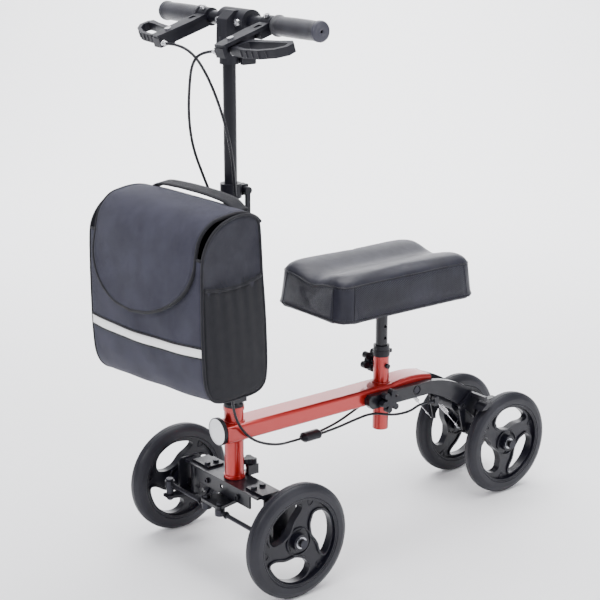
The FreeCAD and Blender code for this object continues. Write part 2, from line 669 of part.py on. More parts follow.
def knuckle_left():
    """A welded C bracket on the kingpin, with the wheel plate and the steering arm."""
    x = KINGPIN_X
    wheel_side = FRONT_TRACK / 2 - WHEEL_W / 2
    plate = box(x + 21, x + 26, -24, 24, 72, 152)
    plate = soft(plate, 8.0, is_along_x)
    top = box(x - 11, x + 22, -12, 12, EAR_TOP_Z, EAR_TOP_Z + EAR_T)
    low = box(x - 11, x + 22, -12, 12, EAR_LOW_Z, EAR_LOW_Z + EAR_T)
    pin_x = x + PITMAN_X
    arm = plate_xy([(x - 10, 10), (x + 12, 10), (pin_x + 9, ROD_Y + 4), (pin_x + 9, ROD_Y - 9),
                    (pin_x - 9, ROD_Y - 9)], EAR_LOW_Z, EAR_LOW_Z + EAR_T)
    boss = tube(9.0, AXLE_R + GAP, (x + 26, 0, WHEEL_R), wheel_side - x - 26 - 0.1, X_AXIS)
    body = fuse(plate, top, low, arm, boss)
    body = body.cut(cyl(5.0, (x, 0, 70), 90))
    body = body.cut(cyl(AXLE_R, (x, 0, WHEEL_R), 60, X_AXIS))
    return body.cut(cyl(4.0, (pin_x, ROD_Y, 70), 40))


def kingpin_left():
    x = KINGPIN_X
    ear_top = EAR_TOP_Z + EAR_T
    pin = cyl(5.0, (x, 0, EAR_LOW_Z - 8), ear_top + 8 - EAR_LOW_Z)
    head = cyl(8.5, (x, 0, ear_top + 0.05), 5)
    nut = hex_nut((x, 0, EAR_LOW_Z - 0.05), Z_AXIS * -1, 8.0, 6, 4.9)
    arm_top = EAR_LOW_Z + EAR_T
    pin_x = x + PITMAN_X
    stud = cyl(4.0, (pin_x, ROD_Y, EAR_LOW_Z - 6), ROD_Z + 14 - EAR_LOW_Z)
    spacer = cyl(6.5, (pin_x, ROD_Y, arm_top + 0.05), ROD_Z - 6.4 - arm_top)
    stud_head = cyl(6.5, (pin_x, ROD_Y, ROD_Z + 6.2), 4)
    stud_nut = hex_nut((pin_x, ROD_Y, EAR_LOW_Z - 0.05), Z_AXIS * -1, 6.5, 4, 3.9)
    return group([fuse(pin, head, nut), fuse(stud, spacer, stud_head, stud_nut)])


def front_axle_bolt_left():
    x0 = KINGPIN_X + 14
    x1 = FRONT_TRACK / 2 + WHEEL_W / 2 + 7
    bolt = cyl(AXLE_R, (x0, 0, WHEEL_R), x1 - x0, X_AXIS)
    head = cyl(7.5, (x1 - 5, 0, WHEEL_R), 5, X_AXIS)
    nut = hex_nut((x0 + 1, 0, WHEEL_R), X_AXIS, 7.5, 5.9, 3.9)
    return fuse(bolt, head, nut)


# ---- column ----
def column_tube():
    body = tube(COLUMN_R, COLUMN_BORE_R, (0, 0, FOLD_Z + 20), COLUMN_TOP_Z - FOLD_Z - 20)
    tongue = box(-14, 14, -12, 12, FOLD_Z - 2, FOLD_Z + 26)
    tongue = fuse(tongue, cyl(12.0, (-14, 0, FOLD_Z), 28, X_AXIS))
    foot = fuse(tongue, cyl(17.0, (0, 0, FOLD_Z + 18), 14))
    foot = foot.cut(cyl(4.0 + GAP, (-40, 0, FOLD_Z), 80, X_AXIS))
    return fuse(body, foot)


def fold_pin():
    pin = cyl(4.0, (-30, 0, FOLD_Z), 52, X_AXIS)
    return fuse(pin, cyl(6.5, (21.2, 0, FOLD_Z), 2.8, X_AXIS))


def fold_lever():
    """The cam lever that locks the folding joint, on the rider's right end of its pin."""
    cam = cyl(9.0, (-21.3, 0, FOLD_Z), 11, X_AXIS * -1)
    handle = box(-31, -25, 4, 70, FOLD_Z - 6, FOLD_Z + 6)
    handle = soft(handle, 2.0, is_along_y)
    lever = fuse(cam, handle)
    return lever.cut(cyl(4.0 + GAP, (-30.5, 0, FOLD_Z), 12, X_AXIS))


def column_collar():
    """The clamp collar at the top of the outer column tube."""
    z = COLUMN_TOP_Z - 16
    band = tube(18.0, COLUMN_R + 0.02, (0, 0, z), 22)
    seat = tube(18.0, INNER_R + 0.3, (0, 0, COLUMN_TOP_Z + 0.02), 8)
    ears = box(-8, 8, 15, 30, z + 2, z + 20)
    body = fuse(band, seat, ears)
    body = body.cut(box(-1, 1, 12, 40, z - 1, z + 40))
    return body.cut(cyl(3.1, (-30, 23, z + 11), 60, X_AXIS))


def collar_lever():
    """The quick-release lever that tightens the column collar."""
    z = COLUMN_TOP_Z - 5
    rod = cyl(3.0, (-14, 23, z), 30, X_AXIS)
    end = cyl(5.0, (-14, 23, z), 5.8, X_AXIS)
    cam = cyl(6.5, (8.3, 23, z), 11, X_AXIS)
    handle = soft(box(13, 18, 18, 28, z - 42, z), 2.0, is_vertical)
    return fuse(rod, end, cam, handle)


# ---- handlebar ----
def inner_tube():
    return tube(INNER_R, INNER_R - 2, (0, 0, INNER_Z0), STEM_HEAD_Z + 42 - INNER_Z0)


def stem_head():
    """The cast stem: a split socket on the tube, a web leaning back, a clamp round the bar."""
    z = STEM_HEAD_Z
    sleeve = cyl(16.0, (0, 0, z), 44)
    clamp = cyl(20.0, (-36, BAR_Y, BAR_Z), 72, X_AXIS)
    outline = [(-16, z + 20), (-14, BAR_Z + 4), (2, BAR_Z + 18), (BAR_Y + 10, BAR_Z + 16),
               (BAR_Y + 17, BAR_Z - 8), (17, z + 20)]
    web = plate_yz(outline, -14, 14)
    web = soft(web, 3.0, is_along_x)
    body = fuse(sleeve, clamp, web)
    body = body.cut(cyl(INNER_R + 0.02, (0, 0, z - 1), 43.5))
    body = body.cut(cyl(BAR_R + 0.02, (-40, BAR_Y, BAR_Z), 80, X_AXIS))
    body = body.cut(cyl(3.6, (-40, 24, z + 7), 80, X_AXIS))
    ears = box(-9, 9, 14, 31, z, z + 15).cut(box(-1.5, 1.5, 10, 40, z - 1, z + 16))
    body = fuse(body, ears).cut(cyl(3.1, (-40, 24, z + 7.5), 80, X_AXIS))
    body = body.cut(cyl(INNER_R + 0.02, (0, 0, z - 1), 43.5))
    for x in (-26, 26):
        body = body.cut(cyl(4.2, (x, BAR_Y - 21, BAR_Z), 5, Y_AXIS))
    return body


def stem_screws():
    screws = []
    for x in (-26, 26):
        screws.append(cap_screw((x, BAR_Y - 20.1, BAR_Z), Y_AXIS * -1, 5.5, 5, 4.0, 4))
    return group(screws)


def stem_knob():
    """The wing knob and bolt that clamp the stem on its tube."""
    z = STEM_HEAD_Z + 7.5
    bolt = cyl(3.0, (-16, 24, z), 30, X_AXIS)
    end = cyl(5.5, (-15, 24, z), 5.8, X_AXIS)
    hub = cyl(7.0, (9.3, 24, z), 11, X_AXIS)
    wing = soft(box(16.5, 22, 10, 38, z - 9, z + 9), 2.5, is_along_x)
    return fuse(bolt, end, hub, wing)


def handlebar():
    return tube(BAR_R, BAR_R - 2, (-BAR_HALF + 6, BAR_Y, BAR_Z), 2 * BAR_HALF - 12, X_AXIS)


def grip_left():
    body = tube(GRIP_R, BAR_R + 0.02, (GRIP_IN, BAR_Y, BAR_Z), BAR_HALF - GRIP_IN - 6, X_AXIS)
    collar = tube(GRIP_R + 1.8, BAR_R + 0.02, (GRIP_IN, BAR_Y, BAR_Z), 6, X_AXIS)
    end = cyl(GRIP_R + 1.0, (BAR_HALF - 9, BAR_Y, BAR_Z), 9, X_AXIS)
    end = end.cut(cyl(BAR_R + 0.02, (BAR_HALF - 10, BAR_Y, BAR_Z), 4.05, X_AXIS))
    end = soft(end, 1.5, lambda e: e.Vertexes[0].Point.x > BAR_HALF - 1)
    body = fuse(body, collar, end)
    return body.cut(cyl(2.0, (BAR_HALF - 3, BAR_Y, BAR_Z), 5, X_AXIS))


def tilted(shape):
    """Tip a lever part nose down about the handlebar's centre line."""
    turned = shape.copy()
    turned.rotate(V(0, BAR_Y, BAR_Z), X_AXIS, LEVER_DROP_DEG)
    return turned


PIVOT_REACH = 80.0


def lever_housing_left():
    """The long flat body that runs forward from its clamp, open below for the lever."""
    x = LEVER_X
    y = BAR_Y
    z = BAR_Z
    clamp = cyl(15.0, (x - 12, y, z), 24, X_AXIS)
    top = plate_xy([(x - 11, y + 4), (x + 11, y + 4), (x + 15, y - 40), (x + 13, y - 104),
                    (x - 10, y - 108), (x - 15, y - 40)], z + 3, z + 9)
    top = soft(top, 4.0, is_vertical)
    inner_wall = plate_xy([(x - 13, y - 12), (x - 9, y - 12), (x - 6, y - 106), (x - 10, y - 106)],
                          z - 12, z + 4)
    nose = plate_xy([(x - 10, y - 100), (x + 13, y - 100), (x + 12, y - 107), (x - 10, y - 108)],
                    z - 12, z + 4)
    base = plate_xy([(x - 12, y - 10), (x + 8, y - 10), (x + 8, y - 30), (x - 12, y - 30)], z - 12, z + 4)
    body = fuse(clamp, top, inner_wall, nose, base)
    body = body.cut(cyl(BAR_R + 0.02, (x - 30, y, z), 60, X_AXIS))
    body = body.cut(cyl(3.0 + GAP, (x, y - PIVOT_REACH, z - 20), 40))
    slot = plate_xy([(x - 2, y - 22), (x + 8, y - 22), (x + 8, y - 34), (x - 2, y - 34)], z + 7, z + 12)
    return tilted(body.cut(slot))


def lever_left():
    """The loop lever: a flat band out from the pivot, round the end and back under the grip."""
    x = LEVER_X
    y = BAR_Y - PIVOT_REACH
    z = BAR_Z - 6
    h = 8.0
    hub = cyl(7.5, (x + 2, y, z - h), 2 * h - 1.5)
    outer_line = [(x + 2, y - 9), (x + 42, y - 13), (x + 76, y - 9), (x + 104, y + 3),
                  (x + 118, y + 18), (x + 116, y + 33), (x + 106, y + 39), (x + 80, y + 33),
                  (x + 50, y + 28), (x + 20, y + 24), (x + 2, y + 8)]
    inner_line = [(x + 16, y - 4), (x + 44, y - 8), (x + 74, y - 4), (x + 98, y + 7),
                  (x + 109, y + 19), (x + 107, y + 29), (x + 84, y + 26), (x + 54, y + 20),
                  (x + 24, y + 15)]
    band = soft(plate_xy(outer_line, z - h, z + h - 1.5), 3.0, is_vertical)
    hole = soft(plate_xy(inner_line, z - h - 1, z + h + 1), 2.0, is_vertical)
    body = fuse(hub, band).cut(hole)
    body = body.cut(cyl(3.0 + GAP, (x, y, z - 20), 40))
    return tilted(body)


def lever_pin_left():
    x = LEVER_X
    y = BAR_Y - PIVOT_REACH
    pin = cyl(3.0, (x, y, BAR_Z - 17), 27)
    head = cyl(5.5, (x, y, BAR_Z + 9.1), 2.5)
    foot = cyl(5.0, (x, y, BAR_Z - 17.2), 2.5)
    return tilted(fuse(pin, head, foot))


ADJUSTER_REACH = 103.0


def adjuster_left():
    """The threaded barrel on the inner side of the housing's nose, pointing inboard."""
    x = LEVER_X - 10.8
    y = BAR_Y - ADJUSTER_REACH
    z = BAR_Z - 5
    barrel = cyl(4.2, (x, y, z), 5, X_AXIS * -1)
    tip = cyl(3.2, (x - 4.8, y, z), 7, X_AXIS * -1)
    return tilted(fuse(barrel, tip))


def housing_screw_left():
    return tilted(cap_screw((LEVER_X, BAR_Y - 4, BAR_Z + 15.3), Z_AXIS, 5.0, 4.5, 2.2, 0.2))


# ---- bag ----
BAG_HALF = 148.0
BAG_BACK_Y = -32.0
BAG_FRONT_Y = -172.0
BAG_Z0 = 364.0
BAG_RIM_Z = 598.0
BAG_WALL = 5.0
FLAP_GAP = 0.8
FLAP_T = 7.0


def bag_side_face(grow, x):
    """The bag's side outline, grown by `grow`: flat back, arched top, full front, rounded foot."""
    back = BAG_BACK_Y + grow
    front = BAG_FRONT_Y - grow
    z0 = BAG_Z0 - grow
    a = V(x, back, z0)
    b = V(x, back, 640 + grow)
    c = V(x, -74 + 0.3 * grow, 661 + grow)
    d = V(x, -118 - 0.5 * grow, 649 + 0.9 * grow)
    e = V(x, -150 - 0.9 * grow, 612 + 0.5 * grow)
    f = V(x, -168 - grow, 540 + 0.1 * grow)
    g = V(x, front, 450)
    h = V(x, front + 2, 384 - 0.3 * grow)
    i = V(x, front + 9, 369 - 0.7 * grow)
    k = V(x, front + 24, z0)
    edges = [Part.LineSegment(a, b).toShape(), Part.Arc(b, V(x, -46 + 0.8 * grow, 655 + grow), c).toShape(),
             Part.Arc(c, d, e).toShape(), Part.Arc(e, f, g).toShape(), Part.LineSegment(g, h).toShape(),
             Part.Arc(h, i, k).toShape(), Part.LineSegment(k, a).toShape()]
    return Part.Face(Part.Wire(edges))


def bag_block(grow, half):
    return bag_side_face(grow, -half).extrude(V(2 * half, 0, 0))


def bag_shell():
    shell = bag_block(0.0, BAG_HALF).cut(bag_block(-BAG_WALL, BAG_HALF - BAG_WALL))
    inside = BAG_HALF - BAG_WALL
    mouth = box(-inside, inside, BAG_FRONT_Y - 5, BAG_BACK_Y - 12, BAG_RIM_Z, 700)
    return shell.cut(mouth)


def bag_flap():
    """The flap: it follows the arched top and hangs over the face, with a round lower edge."""
    half = 134.0
    skin = bag_block(FLAP_GAP + FLAP_T, half).cut(bag_block(FLAP_GAP, half + 1))
    low_z = 492.0
    round_r = 128.0
    keep = box(-half - 1, half + 1, BAG_FRONT_Y - 20, BAG_BACK_Y - 16, low_z + round_r, 720)
    tongue = cyl(round_r, (0, BAG_FRONT_Y - 20, low_z + round_r), 90, Y_AXIS)
    return skin.common(fuse(keep, tongue))


def bag_hanger():
    """The webbing yoke that hangs the bag from the column clips."""
    parts = []
    for z in (590.0, 430.0):
        loop = tube(COLUMN_R + 3.4, COLUMN_R + 0.3, (0, 0, z), 26)
        strap = box(-11, 11, BAG_BACK_Y + 0.3, -COLUMN_R - 2, z, z + 26)
        parts.append(fuse(loop, strap).cut(cyl(COLUMN_R + 0.3, (0, 0, z - 1), 40)))
    return group(parts)


# ---- cables ----
CABLE_R = 2.4
INNER_CABLE_R = 0.9

UPPER_CABLE_LEFT = [(65, -76.4, 909.4), (38, -80, 906), (20, -86, 888), (8, -84, 850),
                    (-8, -76, 800), (-20, -62, 750), (-25, -44, 708), (-21, -29, 668)]
UPPER_CABLE_RIGHT = [(-65, -76.4, 909.4), (-34, -75, 911), (4, -70, 898), (28, -62, 866),
                     (38, -48, 822), (43, -35, 772), (42, -24, 720), (36, -16, 668)]
LOWER_CABLE = [(26, -22, 392), (32, -27, 345), (35, -27, 304), (35, -16, 268), (34, 10, 236),
               (30, 44, 217), (22, 82, 204), (9, 118, 197), (6, 150, 196)]
REAR_CABLE_LEFT = [(9, 182, 196), (14, 220, 201), (19, 254, 209), (28, 292, 218), (42, 330, 208),
                   (56, 360, 213), (50, 388, 219), (43.2, 413, 215)]
REAR_CABLE_RIGHT = [(1, 182, 196), (-5, 218, 198), (-17, 254, 199), (-30, 296, 204), (-44, 334, 208),
                    (-52, 364, 213), (-49, 388, 218), (-43.2, 413, 215)]
JOINER_X = 5.0
JOINER_Z = 196.0
JOINER_Y0 = 150.0
JOINER_Y1 = 182.0
JOINER_WIDEN = 1.1
JOINER_FLATTEN = 0.85


def cable_joiner():
    """The flattened oval box where one cable from the handlebar becomes two."""
    first = (JOINER_X, JOINER_Y0, JOINER_Z)
    last = (JOINER_X, JOINER_Y1, JOINER_Z)
    body = cyl(10.5, first, JOINER_Y1 - JOINER_Y0, Y_AXIS)
    body = fuse(body, cone(10.5, 5.0, last, 6, Y_AXIS), cone(10.5, 5.0, first, 6, Y_AXIS * -1))
    shift_x = JOINER_X * (1 - JOINER_WIDEN)
    shift_z = JOINER_Z * (1 - JOINER_FLATTEN)
    return body.transformGeometry(FreeCAD.Matrix(JOINER_WIDEN, 0, 0, shift_x, 0, 1, 0, 0,
                                                 0, 0, JOINER_FLATTEN, shift_z, 0, 0, 0, 1))


def inner_wire_left():
    """The bare inner wire from the adjuster to the brake arm, with its crimped end."""
    x = ARM_IN + ARM_T + 2.5
    start = V(x, 441, 210)
    end = V(x, BRAKE_Y - 3, BRAKE_Z - 47.5)
    wire = Part.makeCylinder(INNER_CABLE_R, (end - start).Length, start, end - start)
    crimp = Part.makeCylinder(1.8, 8, start + (end - start) * 0.75, end - start)
    return fuse(wire, crimp)


# ---- assembly ----
def both_sides(*shapes):
    """The solids of each left-hand shape and their mirror images, as one group."""
    solids = [solid for shape in shapes for solid in shape.Solids]
    return group(solids + [mirror_x(solid) for solid in solids])


def frame_nodes():
    return {
        "main_beam": beam_bolt_holes(main_beam()),
        "beam_plugs": group([beam_front_cap(), beam_end_plug()]),
        "front_reflector": front_reflector(),
        "head_tube": head_tube(),
        "head_bushes": head_bushes(),
        "seat_tube": seat_tube(),
        "seat_collar": seat_collar(),
        "rear_arm_left": rear_arm_left(),
        "rear_arm_right": mirror_x(rear_arm_left()),
        "arm_bolts": arm_bolts(),
        "rear_spacers": rear_spacers(),
        "rear_axle": rear_axle(),
        "brake_brackets": both_sides(wheel_guard_left(), cable_stop_left()),
        "front_axle_beam": front_axle_beam(),
        "axle_bolts": axle_bolts(),
        "stop_bracket": stop_bracket(),
    }


def moving_nodes():
    nodes = {
        "seat_knob": seat_knob(),
        "seat_post": seat_post(),
        "knee_pad": knee_pad(),
        "arm_clamp_knob": arm_clamp_knob(),
        "lock_knob": lock_knob(),
        "steering_stem": steering_stem(),
        "fold_pin": fold_pin(),
        "fold_lever": fold_lever(),
        "column_tube": column_tube(),
        "column_collar": column_collar(),
        "collar_lever": collar_lever(),
        "bag_shell": bag_shell(),
        "bag_flap": bag_flap(),
        "bag_hanger": bag_hanger(),
        "inner_tube": inner_tube(),
        "stem_head": stem_head(),
        "stem_knob": stem_knob(),
        "handlebar": handlebar(),
        "grips": both_sides(grip_left()),
        "lever_housings": both_sides(lever_housing_left()),
        "lever_fittings": group(both_sides(lever_pin_left(), adjuster_left(),
                                           housing_screw_left()).Solids + stem_screws().Solids),
    }
    paired = {
        "tie_rod": tie_rod_left(),
        "knuckle": knuckle_left(),
        "knuckle_bolts": group(kingpin_left().Solids + front_axle_bolt_left().Solids),
        "brake_lever": lever_left(),
        "brake_arm": group([brake_arm_left(), brake_shoe_left()]),
    }
    for name, shape in paired.items():
        nodes[name + "_left"] = shape
        nodes[name + "_right"] = mirror_x(shape)
    return nodes


def cable_nodes():
    wire = inner_wire_left()
    left = cord_tube("rear_cable_left", REAR_CABLE_LEFT, CABLE_R)
    right = cord_tube("rear_cable_right", REAR_CABLE_RIGHT, CABLE_R)
    return {
        "upper_cable_left": cord_tube("upper_cable_left", UPPER_CABLE_LEFT, CABLE_R),
        "upper_cable_right": cord_tube("upper_cable_right", UPPER_CABLE_RIGHT, CABLE_R),
        "lower_cable": cord_tube("lower_cable", LOWER_CABLE, CABLE_R),
        "cable_joiner": cable_joiner(),
        "rear_cables": group([left, right, wire, mirror_x(wire)]),
    }


def all_wheel_nodes():
    front_x = FRONT_TRACK / 2
    rear_x = REAR_TRACK / 2
    nodes = wheel_nodes("front_wheel_left", front_x, 0, 10)
    nodes.update(wheel_nodes("front_wheel_right", -front_x, 0, 111))
    nodes.update(wheel_nodes("rear_wheel_left", rear_x, WHEELBASE, 83))
    nodes.update(wheel_nodes("rear_wheel_right", -rear_x, WHEELBASE, 60))
    return nodes


def export(nodes):
    os.makedirs("parts", exist_ok=True)
    for name, shape in nodes.items():
        placed = shape.copy()
        placed.translate(V(0, -ORIGIN_Y, 0))
        placed.exportStep("parts/" + name + ".step")


def main():
    nodes = {}
    for made in (frame_nodes(), moving_nodes(), cable_nodes(), all_wheel_nodes()):
        nodes.update(made)
    export(nodes)
    whole = Part.makeCompound(list(nodes.values())).BoundBox
    print("nodes", len(nodes))
    print("box x", round(whole.XMin, 2), round(whole.XMax, 2), "y", round(whole.YMin, 2),
          round(whole.YMax, 2), "z", round(whole.ZMin, 2), round(whole.ZMax, 2),
          "centre y", round((whole.YMin + whole.YMax) / 2, 3))


main()
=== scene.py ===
import json
import math

import bmesh
import bpy
import numpy as np
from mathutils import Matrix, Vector
from mathutils.bvhtree import BVHTree


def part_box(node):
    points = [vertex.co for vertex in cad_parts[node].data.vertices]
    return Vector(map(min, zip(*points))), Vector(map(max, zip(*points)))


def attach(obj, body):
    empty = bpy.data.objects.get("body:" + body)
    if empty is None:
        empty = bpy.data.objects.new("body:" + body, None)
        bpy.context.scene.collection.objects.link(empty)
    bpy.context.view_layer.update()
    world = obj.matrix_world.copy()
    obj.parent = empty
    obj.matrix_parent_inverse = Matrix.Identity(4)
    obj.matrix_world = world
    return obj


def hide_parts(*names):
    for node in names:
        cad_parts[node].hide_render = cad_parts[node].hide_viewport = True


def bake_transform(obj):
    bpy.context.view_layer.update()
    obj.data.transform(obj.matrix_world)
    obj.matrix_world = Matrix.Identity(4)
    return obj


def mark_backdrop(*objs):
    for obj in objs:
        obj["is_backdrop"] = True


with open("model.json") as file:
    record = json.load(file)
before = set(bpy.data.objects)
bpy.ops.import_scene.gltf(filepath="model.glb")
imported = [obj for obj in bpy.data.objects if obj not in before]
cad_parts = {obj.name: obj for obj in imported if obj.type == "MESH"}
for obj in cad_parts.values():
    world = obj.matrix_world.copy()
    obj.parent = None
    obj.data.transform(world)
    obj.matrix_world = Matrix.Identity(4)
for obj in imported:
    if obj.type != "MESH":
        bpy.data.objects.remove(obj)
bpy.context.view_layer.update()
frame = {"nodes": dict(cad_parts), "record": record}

MM = 0.001
low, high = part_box("front_wheel_left_tyre")
AXLE_Y = (low.y + high.y) / 2
WHEEL_R = (high.z - low.z) / 2
SIDES = (("left", 1), ("right", -1))


def at(x, y, z):
    """A point given in millimetres from the front axle line, as a point in the frame."""
    return Vector((x * MM, y * MM + AXLE_Y, z * MM))


# ---------------------------------------------------------------- mesh helpers
def link(obj):
    bpy.context.scene.collection.objects.link(obj)
    return obj


def smooth(mesh):
    mesh.polygons.foreach_set("use_smooth", [True] * len(mesh.polygons))


def finish(obj, body):
    """Gives a piece the body that it rides on."""
    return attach(obj, body)


def mesh_piece(name, verts, faces, material):
    """A smooth-shaded mesh object in one material."""
    mesh = bpy.data.meshes.new(name)
    mesh.from_pydata([tuple(v) for v in verts], [], faces)
    mesh.update()
    mesh.materials.append(material)
    smooth(mesh)
    return link(bpy.data.objects.new(name, mesh))


def grid_faces(rows, cols, wrap_rows=False, wrap_cols=False):
    """Quads between neighbouring points of a grid, which may close on itself either way."""
    faces = []
    for i in range(rows if wrap_rows else rows - 1):
        for j in range(cols if wrap_cols else cols - 1):
            a = i * cols + j
            b = i * cols + (j + 1) % cols
            c = ((i + 1) % rows) * cols + (j + 1) % cols
            d = ((i + 1) % rows) * cols + j
            faces.append((a, b, c, d))
    return faces


def apply_modifiers(obj):
    """Replaces the mesh by what its modifiers make of it."""
    depsgraph = bpy.context.evaluated_depsgraph_get()
    baked = bpy.data.meshes.new_from_object(obj.evaluated_get(depsgraph))
    obj.modifiers.clear()
    old = obj.data
    obj.data = baked
    bpy.data.meshes.remove(old)
    return obj


def subdivide(obj):
    modifier = obj.modifiers.new("subdivide", "SUBSURF")
    modifier.levels = 1
    modifier.render_levels = 1
    return apply_modifiers(obj)


def thicken(obj, thickness):
    """Makes a sheet a closed layer, half of its thickness to each side."""
    modifier = obj.modifiers.new("thicken", "SOLIDIFY")
    modifier.thickness = thickness
    modifier.offset = 0.0
    return apply_modifiers(obj)


def join(name, objects):
    """One mesh object made of several, all without parents."""
    bm = bmesh.new()
    material = objects[0].data.materials[0]
    for obj in objects:
        obj.data.transform(obj.matrix_world)
        bm.from_mesh(obj.data)
    mesh = bpy.data.meshes.new(name)
    bm.to_mesh(mesh)
    bm.free()
    mesh.materials.append(material)
    smooth(mesh)
    for obj in objects:
        old = obj.data
        bpy.data.objects.remove(obj)
        bpy.data.meshes.remove(old)
    return link(bpy.data.objects.new(name, mesh))


def fix_normals(obj):
    """Turns every face outwards."""
    bm = bmesh.new()
    bm.from_mesh(obj.data)
    bmesh.ops.recalc_face_normals(bm, faces=bm.faces)
    bm.to_mesh(obj.data)
    bm.free()
    return obj


def lathe(name, profile, centre, axis, material, segments=96):
    """Turns (distance along axis, radius) points in mm about the line through `centre`."""
    axis = Vector(axis).normalized()
    side = axis.orthogonal().normalized()
    up = axis.cross(side)
    verts = []
    for along, radius in profile:
        for k in range(segments):
            a = 2 * math.pi * k / segments
            spoke = side * math.cos(a) + up * math.sin(a)
            verts.append(centre + axis * (along * MM) + spoke * (radius * MM))
    faces = grid_faces(len(profile), segments, wrap_rows=True, wrap_cols=True)
    return fix_normals(mesh_piece(name, verts, faces, material))


def round_profile(points, radius, steps=5):
    """Rounds each corner of a closed (along, radius) outline."""
    out = []
    count = len(points)
    for k in range(count):
        before = Vector(points[k - 1])
        corner = Vector(points[k])
        after = Vector(points[(k + 1) % count])
        reach = min(radius, (before - corner).length * 0.45, (after - corner).length * 0.45)
        a = corner + (before - corner).normalized() * reach
        b = corner + (after - corner).normalized() * reach
        for i in range(steps + 1):
            t = i / steps
            out.append(tuple(a * (1 - t) ** 2 + corner * (2 * t * (1 - t)) + b * t ** 2))
    return out


def smooth_path(points, count, closed=False):
    """Evenly spaced points on a Catmull-Rom curve through `points`."""
    pts = [Vector(p) for p in points]
    total = len(pts)
    dense = []
    spans = total if closed else total - 1
    for k in range(spans):
        p1 = pts[k]
        p2 = pts[(k + 1) % total]
        p0 = pts[k - 1] if closed or k > 0 else p1 * 2 - p2
        p3 = pts[(k + 2) % total] if closed or k + 2 < total else p2 * 2 - p1
        for i in range(16):
            t = i / 16
            dense.append(0.5 * ((p1 * 2) + (p2 - p0) * t + (p0 * 2 - p1 * 5 + p2 * 4 - p3) * t * t
                                + (p1 * 3 - p0 - p2 * 3 + p3) * t ** 3))
    dense.append(pts[0] if closed else pts[-1])
    array = np.array(dense)
    steps = np.linalg.norm(np.diff(array, axis=0), axis=1)
    along = np.concatenate([[0], np.cumsum(steps)])
    wanted = np.linspace(0, along[-1], count + 1 if closed else count)
    if closed:
        wanted = wanted[:-1]
    columns = [np.interp(wanted, along, array[:, c]) for c in range(array.shape[1])]
    return [Vector(row) for row in np.stack(columns, 1)]


def tube_along(name, points, radius, material, closed=False, sides=10, flat=1.0, up=(0, 0, 1)):
    """A round or flattened tube through points in the frame, in metres."""
    verts = []
    count = len(points)
    reference = Vector(up)
    for k, point in enumerate(points):
        ahead = points[(k + 1) % count] if closed or k + 1 < count else point
        behind = points[k - 1] if closed or k > 0 else point
        heading = (ahead - behind).normalized()
        side = heading.cross(reference)
        if side.length < 1e-4:
            side = heading.orthogonal()
        side.normalize()
        lift = side.cross(heading).normalized()
        for i in range(sides):
            a = 2 * math.pi * i / sides
            verts.append(point + side * (radius * math.cos(a)) + lift * (radius * flat * math.sin(a)))
    faces = grid_faces(count, sides, wrap_rows=closed, wrap_cols=True)
    if not closed:
        faces.append(tuple(range(sides)))
        faces.append(tuple(range((count - 1) * sides, count * sides)))
    return fix_normals(mesh_piece(name, verts, faces, material))


def stitches(name, points, material, pitch=0.0042, length=0.0028, radius=0.00042):
    """Short thread runs along a line of points."""
    parts = []
    travelled = 0.0
    verts = []
    faces = []
    for a, b in zip(points, points[1:]):
        step = (b - a).length
        direction = (b - a).normalized() if step > 0 else Vector((1, 0, 0))
        while travelled < step:
            start = a + direction * travelled
            end = start + direction * length
            parts.append((start, end, direction))
            travelled += pitch
        travelled -= step
    for start, end, direction in parts:
        side = direction.orthogonal().normalized()
        up = direction.cross(side)
        base = len(verts)
        rings = ((start, 0.4), (start.lerp(end, 0.2), 1.0), (start.lerp(end, 0.8), 1.0), (end, 0.4))
        for point, scale in rings:
            for i in range(6):
                a = math.pi * i / 3
                verts.append(point + (side * math.cos(a) + up * math.sin(a)) * (radius * scale))
        faces += [tuple(base + v for v in face) for face in grid_faces(4, 6, wrap_cols=True)]
        faces.append(tuple(base + i for i in range(5, -1, -1)))
        faces.append(tuple(base + 18 + i for i in range(6)))
    return mesh_piece(name, verts, faces, material)


